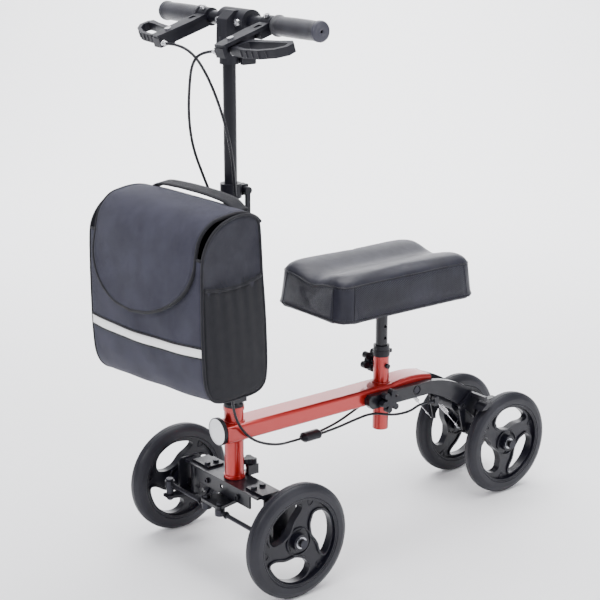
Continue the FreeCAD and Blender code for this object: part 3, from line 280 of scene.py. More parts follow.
# ---------------------------------------------------------------- materials
class Nodes:
    """A thin wrapper that keeps each material's node code short."""

    def __init__(self, name):
        self.material = bpy.data.materials.new(name)
        self.material.use_nodes = True
        self.tree = self.material.node_tree
        self.shader = self.tree.nodes["Principled BSDF"]
        self.coords = self.tree.nodes.new("ShaderNodeTexCoord").outputs["Object"]

    def add(self, kind, **values):
        node = self.tree.nodes.new(kind)
        for key, value in values.items():
            setattr(node, key, value)
        return node

    def wire(self, source, target):
        self.tree.links.new(source, target)

    def math(self, operation, a, b=0.0):
        node = self.add("ShaderNodeMath", operation=operation)
        for socket, value in zip(node.inputs, (a, b)):
            if isinstance(value, (int, float)):
                socket.default_value = value
            else:
                self.wire(value, socket)
        return node.outputs[0]

    def mul(self, a, b):
        return self.math("MULTIPLY", a, b)

    def plus(self, a, b):
        return self.math("ADD", a, b)

    def minus(self, a, b):
        return self.math("SUBTRACT", a, b)

    def sine(self, a):
        return self.math("SINE", a)

    def noise(self, scale, detail=4.0, vector=None):
        node = self.add("ShaderNodeTexNoise")
        node.inputs["Scale"].default_value = scale
        node.inputs["Detail"].default_value = detail
        node.inputs["Roughness"].default_value = 0.55
        self.wire(vector or self.coords, node.inputs["Vector"])
        return node.outputs["Fac"]

    def ramp(self, value, stops):
        node = self.add("ShaderNodeValToRGB")
        elements = node.color_ramp.elements
        while len(elements) < len(stops):
            elements.new(0.5)
        for element, (place, colour) in zip(elements, stops):
            element.position = place
            element.color = (*colour, 1.0)
        self.wire(value, node.inputs["Fac"])
        return node.outputs["Color"]

    def colour(self, value, stops):
        self.wire(self.ramp(value, stops), self.shader.inputs["Base Color"])

    def rough(self, value, lowest, highest):
        node = self.add("ShaderNodeMapRange")
        node.inputs["To Min"].default_value = lowest
        node.inputs["To Max"].default_value = highest
        self.wire(value, node.inputs["Value"])
        self.wire(node.outputs[0], self.shader.inputs["Roughness"])

    def bump(self, height, strength, distance, previous=None):
        node = self.add("ShaderNodeBump")
        node.inputs["Strength"].default_value = strength
        node.inputs["Distance"].default_value = distance
        self.wire(height, node.inputs["Height"])
        if previous:
            self.wire(previous, node.inputs["Normal"])
        self.wire(node.outputs["Normal"], self.shader.inputs["Normal"])
        return node.outputs["Normal"]

    def split(self, vector=None):
        node = self.add("ShaderNodeSeparateXYZ")
        self.wire(vector or self.coords, node.inputs[0])
        return node.outputs

    def set(self, **values):
        for name, value in values.items():
            self.shader.inputs[name.replace("_", " ")].default_value = value


def shade(colour, factor):
    return tuple(min(1.0, c * factor) for c in colour)


def speckled(name, colour, rough, metallic=0.0, grain=900.0, bump=0.15, depth=0.0002, **extra):
    """Moulded, cast or coated surfaces: a fine grain with soft patches of wear."""
    n = Nodes(name)
    patches = n.noise(9.0, 3.0)
    n.colour(patches, [(0.3, shade(colour, 0.86)), (0.7, shade(colour, 1.16))])
    n.rough(n.noise(60.0, 5.0), rough - 0.07, rough + 0.09)
    first = n.bump(n.noise(grain, 2.0), bump, depth)
    n.bump(n.noise(35.0, 2.0), 0.06, 0.0006, first)
    n.set(Metallic=metallic, Specular_IOR_Level=0.28, **extra)
    return n.material


def red_paint():
    """Metallic paint with fine flake under a clear coat."""
    n = Nodes("red_metallic_paint")
    flake = n.noise(2600.0, 1.0)
    n.colour(flake, [(0.35, (0.30, 0.004, 0.003)), (0.65, (0.52, 0.012, 0.008))])
    n.rough(n.noise(40.0, 4.0), 0.26, 0.36)
    n.bump(n.noise(240.0, 2.0), 0.035, 0.0003)
    n.set(Metallic=0.45, Coat_Weight=0.7, Coat_Roughness=0.05)
    return n.material


def plated_steel():
    """Bright plating with a faint brushed grain."""
    n = Nodes("plated_steel")
    x, y, z = n.split()
    brushed = n.add("ShaderNodeCombineXYZ")
    n.wire(n.mul(x, 0.08), brushed.inputs[0])
    n.wire(y, brushed.inputs[1])
    n.wire(z, brushed.inputs[2])
    streak = n.noise(1800.0, 3.0, vector=brushed.outputs[0])
    n.colour(n.noise(30.0), [(0.3, (0.60, 0.60, 0.62)), (0.7, (0.82, 0.82, 0.84))])
    n.rough(streak, 0.16, 0.34)
    n.bump(streak, 0.08, 0.0002)
    n.set(Metallic=1.0)
    return n.material


def tyre_rubber():
    """Solid rubber with a slight mould texture."""
    n = Nodes("tyre_rubber")
    n.colour(n.noise(14.0, 5.0), [(0.3, (0.006, 0.006, 0.010)), (0.72, (0.015, 0.015, 0.022))])
    n.rough(n.noise(90.0, 4.0), 0.36, 0.56)
    first = n.bump(n.noise(1400.0, 2.0), 0.18, 0.0002)
    n.bump(n.noise(70.0, 3.0), 0.08, 0.0005, first)
    n.set(Specular_IOR_Level=0.3, Coat_Weight=0.1, Coat_Roughness=0.3)
    return n.material


def grip_rubber(bar_y, bar_z):
    """Cross-hatched rubber: two sets of fine helical lines round the bar."""
    n = Nodes("grip_rubber")
    x, y, z = n.split()
    angle = n.math("ARCTAN2", n.minus(y, bar_y), n.minus(z, bar_z))
    around = n.mul(angle, 40.0)
    along = n.mul(x, 2500.0)
    one = n.sine(n.plus(around, along))
    two = n.sine(n.minus(around, along))
    knurl = n.math("MAXIMUM", one, two)
    n.colour(n.noise(50.0), [(0.3, (0.018, 0.018, 0.024)), (0.7, (0.04, 0.04, 0.052))])
    n.rough(n.noise(200.0), 0.30, 0.46)
    first = n.bump(knurl, 0.55, 0.0005)
    n.bump(n.noise(900.0), 0.1, 0.0002, first)
    n.set(Coat_Weight=0.2, Coat_Roughness=0.3)
    return n.material


def woven(name, dark, light, pitch=0.0011, rough=0.72, sheen=0.08, bump=0.5):
    """Plain weave: warp and weft ridges that cross, with slubs and soft shading."""
    n = Nodes(name)
    x, y, z = n.split()
    k = 2 * math.pi / pitch
    warp = n.sine(n.mul(n.plus(x, n.mul(y, 0.9)), k))
    weft = n.sine(n.mul(n.plus(z, n.mul(y, 0.35)), k))
    cross = n.mul(warp, weft)
    mix = n.plus(n.mul(cross, 0.22), n.noise(26.0, 6.0))
    n.colour(mix, [(0.25, dark), (0.8, light)])
    n.rough(n.noise(120.0), rough - 0.08, rough + 0.1)
    first = n.bump(cross, bump, 0.0003)
    n.bump(n.noise(45.0, 4.0), 0.35, 0.0016, first)
    n.set(Sheen_Weight=sheen, Sheen_Roughness=0.5, Specular_IOR_Level=0.2)
    return n.material


def mesh_fabric():
    """Open net: two crossing sets of threads."""
    n = Nodes("pocket_mesh")
    _, y, z = n.split()
    k = 2 * math.pi / 0.0026
    one = n.sine(n.mul(n.plus(y, z), k))
    two = n.sine(n.mul(n.minus(y, z), k))
    net = n.mul(one, two)
    n.colour(net, [(0.3, (0.005, 0.005, 0.008)), (0.75, (0.020, 0.020, 0.028))])
    n.rough(n.noise(80.0), 0.6, 0.8)
    first = n.bump(net, 0.7, 0.0006)
    n.bump(n.noise(30.0, 4.0), 0.4, 0.002, first)
    n.set(Sheen_Weight=0.06, Specular_IOR_Level=0.2)
    return n.material


def ribbed_vinyl(centre, top_z, corner_x, corner_y):
    """Pad cover: diagonal fine ribs on the sides, smooth grained vinyl on top and round the corners."""
    n = Nodes("pad_vinyl")
    x, y, z = n.split()
    k = 2 * math.pi / 0.0034
    run = n.plus(n.plus(x, y), z)
    ribs = n.sine(n.mul(run, k))
    back = n.sine(n.mul(n.minus(n.plus(x, y), z), k))
    twill = n.mul(ribs, n.plus(n.mul(back, 0.35), 0.65))
    geometry = n.add("ShaderNodeNewGeometry")
    facing = n.split(geometry.outputs["Normal"])[2]
    steep = n.math("LESS_THAN", n.math("ABSOLUTE", facing), 0.55)
    below = n.math("LESS_THAN", z, top_z)
    near_x = n.math("GREATER_THAN", n.math("ABSOLUTE", n.minus(x, centre.x)), corner_x)
    near_y = n.math("GREATER_THAN", n.math("ABSOLUTE", n.minus(y, centre.y)), corner_y)
    off_corner = n.minus(1.0, n.mul(near_x, near_y))
    mask = n.mul(n.mul(steep, below), off_corner)
    height = n.mul(twill, mask)
    tone = n.plus(n.mul(height, 0.3), n.noise(16.0, 4.0))
    n.colour(tone, [(0.2, (0.006, 0.006, 0.011)), (0.85, (0.028, 0.028, 0.042))])
    n.rough(n.noise(70.0), 0.34, 0.5)
    first = n.bump(height, 0.8, 0.0007)
    grain = n.add("ShaderNodeTexVoronoi")
    grain.inputs["Scale"].default_value = 620.0
    n.wire(n.coords, grain.inputs["Vector"])
    second = n.bump(grain.outputs["Distance"], 0.12, 0.0002, first)
    n.bump(n.noise(22.0, 3.0), 0.2, 0.002, second)
    n.set(Specular_IOR_Level=0.35)
    return n.material


def reflector_lens():
    """Moulded clear lens over a field of small prisms."""
    n = Nodes("reflector_lens")
    cells = n.add("ShaderNodeTexVoronoi")
    cells.inputs["Scale"].default_value = 420.0
    cells.inputs["Randomness"].default_value = 0.12
    n.wire(n.coords, cells.inputs["Vector"])
    n.colour(cells.outputs["Distance"], [(0.1, (0.62, 0.63, 0.66)), (0.6, (0.92, 0.93, 0.95))])
    n.rough(n.noise(90.0), 0.08, 0.2)
    n.bump(cells.outputs["Distance"], 0.5, 0.0008)
    n.set(Coat_Weight=1.0, Coat_Roughness=0.04)
    return n.material


def reflective_tape():
    """Pale tape with a fine embossed grid."""
    n = Nodes("reflective_tape")
    x, _, z = n.split()
    k = 2 * math.pi / 0.0016
    cells = n.mul(n.sine(n.mul(x, k)), n.sine(n.mul(z, k)))
    tone = n.plus(n.mul(cells, 0.2), n.noise(30.0))
    n.colour(tone, [(0.2, (0.93, 0.93, 0.94)), (0.8, (1.0, 1.0, 1.0))])
    n.rough(n.noise(60.0), 0.3, 0.5)
    n.bump(cells, 0.15, 0.0002)
    return n.material


def stage_paint():
    n = Nodes("studio_floor")
    n.colour(n.noise(0.6, 2.0), [(0.3, (0.94, 0.94, 0.96)), (0.7, (0.955, 0.955, 0.975))])
    n.rough(n.noise(3.0), 0.55, 0.65)
    return n.material


bar_low, bar_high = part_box("handlebar")
BAR = (bar_low + bar_high) / 2
pad_low, pad_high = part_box("knee_pad")
PAD = (pad_low + pad_high) / 2

INK = (0.010, 0.010, 0.015)
RED = red_paint()
COAT = speckled("black_powder_coat", (0.007, 0.007, 0.011), 0.30, grain=1300.0, bump=0.1,
                Coat_Weight=0.2, Coat_Roughness=0.12)
CAST = speckled("cast_black", (0.011, 0.011, 0.016), 0.48, grain=700.0, bump=0.35, depth=0.0003)
PLASTIC = speckled("black_plastic", INK, 0.40, grain=1000.0, bump=0.14)
WHEEL = speckled("wheel_plastic", (0.006, 0.006, 0.011), 0.30, grain=800.0, bump=0.1,
                 Coat_Weight=0.12, Coat_Roughness=0.2)
STEEL = plated_steel()
TYRE = tyre_rubber()
GRIP = grip_rubber(BAR.y, BAR.z)
CAP = speckled("grip_end_plastic", (0.05, 0.05, 0.065), 0.32, grain=600.0, bump=0.08)
VINYL = ribbed_vinyl(PAD, pad_high.z - 0.012, 0.064, 0.127)
NYLON = woven("bag_nylon", (0.019, 0.019, 0.034), (0.038, 0.038, 0.062))
# Side panel nylon: the bag's own nylon, painted darker as shade because the side panels face away from the
# light.
SIDE_NYLON_PAINTED_SHADE = woven("bag_side_nylon_painted_shade", (0.014, 0.014, 0.021), (0.032, 0.032, 0.045))
BINDING = woven("bag_binding", (0.007, 0.007, 0.010), (0.018, 0.018, 0.024), pitch=0.0014, bump=0.7)
WEBBING = woven("webbing", (0.009, 0.009, 0.012), (0.024, 0.024, 0.03), pitch=0.0022, bump=0.9)
POCKET = mesh_fabric()
TAPE = reflective_tape()
LENS = reflector_lens()
JACKET = speckled("cable_jacket", (0.012, 0.012, 0.016), 0.28, grain=500.0, bump=0.05)
VINYL_TRIM = speckled("pad_trim_vinyl", (0.012, 0.012, 0.018), 0.36, grain=900.0, bump=0.1)
DARK_STEEL = speckled("blackened_steel", (0.035, 0.035, 0.042), 0.3, metallic=0.85, grain=600.0, bump=0.06)
THREAD = speckled("dark_thread", (0.05, 0.05, 0.065), 0.7, grain=2500.0, bump=0.3)
BEARING = speckled("bearing_shield", (0.42, 0.43, 0.46), 0.3, metallic=0.9, grain=900.0, bump=0.06)

SLOT_MATERIAL = {
    "red_paint": RED, "black_paint": COAT, "cast_black": CAST, "black_plastic": PLASTIC,
    "bright_steel": STEEL, "tyre_rubber": TYRE, "grip_rubber": GRIP, "pad_vinyl": VINYL,
    "bag_fabric": NYLON, "webbing": WEBBING, "reflector": LENS, "cable_jacket": JACKET,
}
DARK_NODES = ("arm_bolts", "rear_axle", "axle_bolts", "knuckle_bolts_left", "knuckle_bolts_right",
              "tie_rod_left", "tie_rod_right")


def paint_frame():
    """Gives every CAD node its finish."""
    for part in frame["record"]["subparts"]:
        obj = frame["nodes"][part["node"]]
        material = SLOT_MATERIAL[part["material_slot"]]
        if part["node"].endswith("_core"):
            material = WHEEL
        if part["node"] in DARK_NODES:
            material = DARK_STEEL
        obj.data.materials.clear()
        obj.data.materials.append(material)


# ---------------------------------------------------------------- wheels
# Each wheel with the angle in degrees that its spokes stand at.
WHEEL_TURN = {"front_wheel_left": 10, "front_wheel_right": 111, "rear_wheel_left": 83, "rear_wheel_right": 60}
RIM_STEPS = ((77.5, 1.6, 13.0), (24.0, 1.3, 7.6))
TYRE_HALF_WIDTH = 14.0
BEARING_FACE = 14.15


def wheel_centre(name):
    a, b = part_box(name + "_tyre")
    return (a + b) / 2


def moulded_tyre(name):
    """The solid tyre: a rounded tread with a shallow groove near each shoulder."""
    half = TYRE_HALF_WIDTH
    r = WHEEL_R / MM
    crown = [(-half, 80.0), (-half, r - 12), (-half + 2.2, r - 6), (-half + 5.4, r - 2.4),
             (-6.4, r - 0.7), (-5.8, r - 1.5), (-5.0, r - 1.5), (-4.4, r - 0.35), (0, r),
             (4.4, r - 0.35), (5.0, r - 1.5), (5.8, r - 1.5), (6.4, r - 0.7),
             (half - 5.4, r - 2.4), (half - 2.2, r - 6), (half, r - 12), (half, 80.0),
             (half - 0.9, 79.0), (-half + 0.9, 79.0)]
    profile = round_profile(crown, 1.0, 3)
    tyre = lathe(name + "_tread", profile, wheel_centre(name), (1, 0, 0), TYRE, 128)
    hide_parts(name + "_tyre")
    return finish(tyre, name)


def rim_rings(name):
    """The turned rim lip and the step ring inside it, on both faces."""
    centre = wheel_centre(name)
    rings = []
    for side in (-1, 1):
        for radius, width, out in RIM_STEPS:
            corners = [(side * (out - 4), radius - width), (side * out, radius - width),
                       (side * out, radius + width), (side * (out - 4), radius + width)]
            profile = round_profile(corners, 1.2, 4)
            rings.append(lathe("ring", profile, centre, (1, 0, 0), WHEEL, 96))
    ring = join(name + "_rim_rings", rings)
    return finish(ring, name)


def hub_shields(name):
    """The pale bearing shields that show round the axle bolt."""
    centre = wheel_centre(name)
    parts = []
    for side in (-1, 1):
        corners = [(side * 13.2, 5.2), (side * BEARING_FACE, 5.2), (side * BEARING_FACE, 10.4),
                   (side * 13.2, 10.4)]
        profile = round_profile(corners, 0.4, 3)
        parts.append(lathe("shield", profile, centre, (1, 0, 0), BEARING, 48))
    shield = join(name + "_bearing_shields", parts)
    return finish(shield, name)


def spoke_ribs(name, turn):
    """Raised ridges round the small pockets by the rim and by the hub, on both faces."""
    centre = wheel_centre(name)
    parts = []
    for k in range(3):
        for side in (-1, 1):
            fat = turn + 43.0 + 120.0 * k
            pockets = (((72.5, 100), (72.5, 109), (63, 104.5)), ((24, 104), (24, 70), (19, 88)))
            for corners in pockets:
                ring = []
                for r, clockwise in corners:
                    a = math.radians(fat - clockwise)
                    ring.append(centre + Vector((side * 4.7, r * math.cos(a), r * math.sin(a))) * MM)
                line = smooth_path(ring, 24, closed=True)
                parts.append(tube_along("rib", line, 0.0011, WHEEL, closed=True, sides=8, up=(1, 0, 0)))
    rib = join(name + "_spoke_ribs", parts)
    return finish(rib, name)


# ---------------------------------------------------------------- handlebar
def moulded_grips():
    """Both grips: knurled sleeves with end collars, slightly barrelled."""
    parts = []
    for _, side in SIDES:
        inner = 104.0
        outer = 216.0
        profile = [(inner, 11.3), (inner, 16.6), (inner + 1.2, 17.3), (inner + 4.8, 17.3), (inner + 6, 16.4)]
        for k in range(13):
            t = k / 12
            along = inner + 8 + (outer - inner - 20) * t
            profile.append((along, 15.3 + 0.5 * math.sin(math.pi * t)))
        profile += [(outer - 10, 16.2), (outer - 8.6, 16.6), (outer - 8.6, 11.3)]
        centre = Vector((0, BAR.y, BAR.z))
        turned = [(side * along, radius) for along, radius in profile]
        parts.append(lathe("sleeve", turned, centre, (1, 0, 0), GRIP, 64))
    grips = join("grip_sleeves", parts)
    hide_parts("grips")
    return finish(grips, "handlebar")


def grip_caps():
    """The moulded plugs in the ends of the grips."""
    parts = []
    for _, side in SIDES:
        profile = [(207.5, 2.4), (207.5, 15.8), (208.2, 16.6), (212.5, 16.6), (214.6, 15.6), (215.6, 13.4),
                   (216.0, 9.0), (216.0, 3.2), (214.8, 2.4)]
        turned = [(side * along, radius) for along, radius in profile]
        parts.append(lathe("cap", turned, Vector((0, BAR.y, BAR.z)), (1, 0, 0), CAP, 48))
    caps = join("grip_end_caps", parts)
    return finish(caps, "handlebar")


# The lever housings are tipped down by this angle about the handlebar's line, in mm.
LEVER_TILT = math.radians(18.0)
BAR_LINE_Y = 20.0
BAR_LINE_Z = 946.0


def on_lever(side, x, y, z):
    """A point on the level lever drawing, tipped down about the handlebar's line."""
    dy = y - BAR_LINE_Y
    dz = z - BAR_LINE_Z
    c = math.cos(LEVER_TILT)
    s = math.sin(LEVER_TILT)
    return at(side * x, BAR_LINE_Y + dy * c - dz * s, BAR_LINE_Z + dy * s + dz * c)


def finger_ridges(name, side):
    """Raised ribs across the front bar of a loop lever."""
    parts = []
    for k in range(5):
        x = 126.0 + 13.0 * k
        y = float(np.interp(x, (90.0, 130.0, 164.0, 192.0), (-69.0, -73.0, -69.0, -57.0)))
        points = [on_lever(side, x, y, 934.0 + 10.5 * i / 6) for i in range(7)]
        parts.append(tube_along("ridge", points, 0.0016, PLASTIC, sides=8, up=(0, 1, 0)))
    ridges = join("finger_ridges_" + name, parts)
    return finish(ridges, "brake_lever_" + name)


def adjuster_nuts():
    """Knurled lock nuts on the cable adjusters."""
    parts = []
    for _, side in SIDES:
        for along, radius, width in ((76.5, 5.0, 2.4), (71.5, 3.9, 1.4), (69.0, 3.9, 1.4)):
            points = [on_lever(side, along - width * i / 3, -83.0, 941.0) for i in range(4)]
            parts.append(tube_along("nut", points, radius * MM, STEEL, sides=18))
    nuts = join("cable_adjuster_nuts", parts)
    return finish(nuts, "handlebar")


# ---------------------------------------------------------------- knee pad
PAD_HALF_X = (pad_high.x - pad_low.x) / 2
PAD_HALF_Y = (pad_high.y - pad_low.y) / 2
PAD_BASE_Z = pad_low.z - 0.003
PAD_CROWN_Z = pad_high.z + 0.006
PAD_CORNER = 0.024
PAD_FLARE = 0.008


def rounded_box(half_x, half_y, corner, count):
    """Evenly spaced points round a rectangle with rounded corners, about the origin."""
    spots = []
    for k, (sx, sy) in enumerate(((1, 1), (-1, 1), (-1, -1), (1, -1))):
        for i in range(9):
            a = math.pi / 2 * (k + i / 8)
            spots.append((sx * (half_x - corner) + corner * math.cos(a),
                          sy * (half_y - corner) + corner * math.sin(a), 0.0))
    spots.append(spots[0])
    array = np.array(spots)
    along = np.concatenate([[0], np.cumsum(np.linalg.norm(np.diff(array, axis=0), axis=1))])
    wanted = np.linspace(0, along[-1], count + 1)[:-1]
    xs = np.interp(wanted, along, array[:, 0])
    ys = np.interp(wanted, along, array[:, 1])
    return [(float(x), float(y)) for x, y in zip(xs, ys)]


def pad_top(x, y):
    """Height of the pad's top: a lengthwise trough between two crowns."""
    u = x / PAD_HALF_X
    v = y / PAD_HALF_Y
    trough = 0.0125 * math.exp(-(u / 0.42) ** 2)
    return PAD_CROWN_Z - trough - 0.0035 * u ** 4 - 0.004 * v ** 6


def pad_block():
    """The unpressed pad: sides that flare out to the base, a rolled shoulder and a dished top."""
    around = 144
    verts = []
    levels = [(0.0, PAD_FLARE), (0.05, PAD_FLARE + 0.0008), (0.3, PAD_FLARE * 0.72), (0.55, PAD_FLARE * 0.42),
              (0.78, PAD_FLARE * 0.12), (0.88, -0.001), (0.94, -0.004), (0.985, -0.0095)]
    for level, grow in levels:
        for x, y in rounded_box(PAD_HALF_X + grow, PAD_HALF_Y + grow, PAD_CORNER + max(0.0, grow), around):
            top = pad_top(x, y) - 0.0005
            verts.append(Vector((PAD.x + x, PAD.y + y, PAD_BASE_Z + (top - PAD_BASE_Z) * level)))
    steps = 16
    for i in range(1, steps):
        inset = 0.0175 + 0.0735 * (i - 1) / (steps - 1)
        for x, y in rounded_box(PAD_HALF_X - inset, PAD_HALF_Y - inset,
                                min(PAD_CORNER, (PAD_HALF_X - inset) * 0.8), around):
            verts.append(Vector((PAD.x + x, PAD.y + y, pad_top(x, y))))
    rings = len(levels) + steps - 1
    faces = grid_faces(rings, around, wrap_cols=True)
    faces.append(tuple(range(around)))
    faces.append(tuple(range((rings - 1) * around, rings * around)))
    return fix_normals(mesh_piece("knee_pad_cushion", verts, faces, VINYL))


def puff(obj, voxel, pressure, cap):
    """Inflates a closed mesh as cloth for a moment, and caps how far any point may move."""
    remesh = obj.modifiers.new("remesh", "REMESH")
    remesh.mode = "VOXEL"
    remesh.voxel_size = voxel
    apply_modifiers(obj)
    rest = np.array([v.co for v in obj.data.vertices])
    cloth = obj.modifiers.new("cloth", "CLOTH")
    cloth.settings.use_pressure = True
    cloth.settings.uniform_pressure_force = pressure
    cloth.settings.effector_weights.gravity = 0
    cloth.settings.tension_stiffness = 25
    cloth.settings.compression_stiffness = 25
    scene = bpy.context.scene
    for step in range(1, 21):
        scene.frame_set(step)
    apply_modifiers(obj)
    scene.frame_set(1)
    moved = np.array([v.co for v in obj.data.vertices]) - rest
    length = np.linalg.norm(moved, axis=1, keepdims=True)
    moved *= np.minimum(1.0, cap / np.maximum(length, 1e-9))
    obj.data.vertices.foreach_set("co", (rest + moved).ravel())
    obj.data.update()
    return obj


def keep_inside(obj, lowest, highest):
    """Holds every point of a mesh inside a box."""
    co = np.array([v.co for v in obj.data.vertices])
    co = np.clip(co, np.array(lowest), np.array(highest))
    obj.data.vertices.foreach_set("co", co.ravel())
    obj.data.update()


def surface_of(obj):
    depsgraph = bpy.context.evaluated_depsgraph_get()
    return BVHTree.FromObject(obj, depsgraph)


def laid_on(tree, points, lift):
    """Moves each point to the nearest spot of a surface, then out by `lift`."""
    out = []
    for point in points:
        spot, normal, _, _ = tree.find_nearest(point)
        out.append(spot + normal * lift)
    return out


def pad_loop(level, grow, count=260):
    """A line round the pad at a share of its height."""
    points = []
    for x, y in rounded_box(PAD_HALF_X + grow, PAD_HALF_Y + grow, PAD_CORNER + max(0.0, grow), count):
        top = pad_top(x, y)
        points.append(Vector((PAD.x + x, PAD.y + y, PAD_BASE_Z + (top - PAD_BASE_Z) * level)))
    return points


def knee_pad():
    """The cushion with its piping, seams and stitching."""
    pad = pad_block()
    puff(pad, voxel=0.0045, pressure=3.0, cap=0.0022)
    subdivide(pad)
    smooth(pad.data)
    reach = PAD_FLARE + 0.004
    keep_inside(pad, (pad_low.x - reach, pad_low.y - reach, PAD_BASE_Z - 0.001),
                (pad_high.x + reach, pad_high.y + reach, PAD_CROWN_Z + 0.006))
    tree = surface_of(pad)
    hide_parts("knee_pad")
    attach(pad, "seat")
    for name, level, grow in (("pad_top_piping", 0.86, 0.0), ("pad_base_piping", 0.075, PAD_FLARE)):
        line = laid_on(tree, pad_loop(level, grow), 0.0003)
        piping = tube_along(name, line, 0.0014, VINYL_TRIM, closed=True, sides=8)
        finish(piping, "seat")
        beside = level - 0.05 if level > 0.5 else level + 0.05
        thread_line = laid_on(tree, pad_loop(beside, grow), 0.0002)
        thread = stitches(name + "_thread", thread_line + thread_line[:1], THREAD)
        finish(thread, "seat")
    corners = ((1, 1, "rear_left"), (-1, 1, "rear_right"), (1, -1, "front_left"), (-1, -1, "front_right"))
    for sx, sy, tag in corners:
        seams = []
        for back_x, back_y in ((PAD_CORNER + 0.004, 0.0), (0.0, PAD_CORNER + 0.004)):
            line = []
            for i in range(27):
                level = 0.08 + 0.78 * i / 26
                grow = PAD_FLARE * (1 - level)
                line.append(Vector((PAD.x + sx * (PAD_HALF_X + grow - back_x),
                                    PAD.y + sy * (PAD_HALF_Y + grow - back_y),
                                    PAD_BASE_Z + (PAD_CROWN_Z - PAD_BASE_Z) * level)))
            seams.append(tube_along("seam", laid_on(tree, line, 0.0001), 0.0009, VINYL_TRIM, sides=6,
                                    up=(1, 0.3, 0)))
        seam = join("pad_corner_seams_" + tag, seams)
        finish(seam, "seat")


# ---------------------------------------------------------------- bag
# The bag in mm: half widths at back and face, then its side outline as (y, z) from the back up and over.
BAG_BACK_HALF = 136.0
BAG_FRONT_HALF = 157.0
BAG_TURN = math.radians(2.0)
BAG_SAG = 0.06
BAG_BACK = [(-37, 440), (-40, 500), (-45, 560), (-48, 610), (-51, 643), (-60, 657)]
BAG_ARCH = [(-82, 664.5), (-110, 663.5), (-136, 656), (-155, 643), (-169, 624), (-176, 600)]
BAG_FACE = [(-178, 540), (-178, 480), (-177, 434), (-173, 394), (-161, 371), (-139, 361)]
BAG_FOOT = [(-100, 358), (-62, 359), (-43, 369), (-37, 392)]
BAG_OUTLINE = BAG_BACK + BAG_ARCH + BAG_FACE + BAG_FOOT
CLOTH = 0.0024
PIPING = 0.0026


def on_bag(x, y, z):
    """A point of the bag, which hangs slightly turned on the column and sags to the right."""
    z += BAG_SAG * x * min(1.0, max(0.0, (650.0 - z) / 285.0))
    c = math.cos(BAG_TURN)
    s = math.sin(BAG_TURN)
    return at(x * c - y * s, x * s + y * c, z)


def bag_half(y):
    """Half the bag's width at a distance from the column."""
    return BAG_BACK_HALF + (BAG_FRONT_HALF - BAG_BACK_HALF) * min(1.0, max(0.0, (-y - 37.0) / 140.0))


def bag_outline(count=144):
    return smooth_path([(y, z, 0) for y, z in BAG_OUTLINE], count, closed=True)


def bag_point(u, spot, out=0.0):
    """A point of the bag's skin: `u` across from -1 to 1, `spot` on the outline, pushed out by `out` mm."""
    away = (Vector(spot) - Vector((-105.0, 505.0, 0))).normalized()
    full = max(0.0, 1 - abs(u) ** 3)
    front = max(0.0, (-spot[0] - 100) / 78)
    wave = 1.2 * math.sin(spot[1] * 0.045 + u * 3.1) * math.sin(u * 5.3 + spot[1] * 0.02)
    crease = -1.4 * math.exp(-((spot[1] - 398 - 9 * math.sin(u * 4)) / 9.0) ** 2)
    push = out + full * (3.2 * front + wave + crease * front)
    back_stop = min(-36.0, spot[0] + away[0] * push)
    return on_bag(u * bag_half(spot[0]), back_stop, spot[1] + away[1] * push)


def side_panel(side, outline):
    """One arched side panel, drawn in a little at its middle."""
    rings = 16
    middle = Vector((-104.0, 515.0, 0))
    verts = []
    for i in range(rings):
        t = i / rings
        for spot in outline:
            inner = Vector(spot).lerp(middle, t)
            dish = 4.0 * math.sin(math.pi * t) ** 0.8 * (1.0 if inner[1] > 555 else -0.3)
            ripple = 0.7 * math.sin(inner[1] * 0.06 + inner[0] * 0.05) * t
            verts.append(on_bag(side * (bag_half(inner[0]) - dish - ripple), inner[0], inner[1]))
    verts.append(on_bag(side * (bag_half(middle[0]) - 0.5), middle[0], middle[1]))
    count = len(outline)
    faces = grid_faces(rings, count, wrap_cols=True)
    last = (rings - 1) * count
    for k in range(count):
        faces.append((last + k, last + (k + 1) % count, rings * count))
    # The side panels take the darker copy of the nylon, which paints in the shade that falls on the sides.
    panel = mesh_piece("bag_side", verts, faces, SIDE_NYLON_PAINTED_SHADE)
    return thicken(fix_normals(panel), CLOTH)


def bag_body():
    """The bag's sewn shell: one panel wraps back, foot and face; the two sides are arched panels."""
    outline = bag_outline()
    closed = [not (p[1] > 606 and p[0] < -54) for p in outline]
    count = len(outline)
    first = next(k for k in range(count) if closed[k] and not closed[k - 1])
    order = [(first + k) % count for k in range(count) if closed[(first + k) % count]]
    across = 45
    verts = [bag_point(-1 + 2 * j / (across - 1), outline[k]) for k in order for j in range(across)]
    wrap = mesh_piece("bag_wrap", verts, grid_faces(len(order), across), NYLON)
    thicken(fix_normals(wrap), CLOTH)
    smooth(wrap.data)
    finish(wrap, "column")
    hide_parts("bag_shell")
    trim = bag_piping() + bag_strip()
    for name, side in SIDES:
        panel = side_panel(side, outline)
        panel.name = "bag_side_panel_" + name
        finish(panel, "column")


def bag_piping():
    """Corded edges round both side panels, and the binding of the mouth."""
    parts = []
    outline = bag_outline()
    for _, side in SIDES:
        line = [on_bag(side * (bag_half(p[0]) + 0.4), p[0], p[1]) for p in outline]
        parts.append(tube_along("piping", line, PIPING, BINDING, closed=True, sides=10, up=(1, 0, 0)))
    piping = join("bag_edge_piping", parts)
    finish(piping, "column")
    rim_spot = min((p for p in outline if p[0] < -120 and p[1] > 560), key=lambda p: abs(p[1] - 604))
    rim_line = [bag_point(-1 + j / 20, rim_spot) for j in range(41)]
    rim = tube_along("bag_mouth_binding", rim_line, PIPING, BINDING, sides=8)
    finish(rim, "column")
    return [piping, rim]


def face_spot(outline, z):
    """The outline's point on the bag's face at one height."""
    spot = min((p for p in outline if p[0] < -120), key=lambda p: abs(p[1] - z))
    return Vector((spot[0], z, 0))


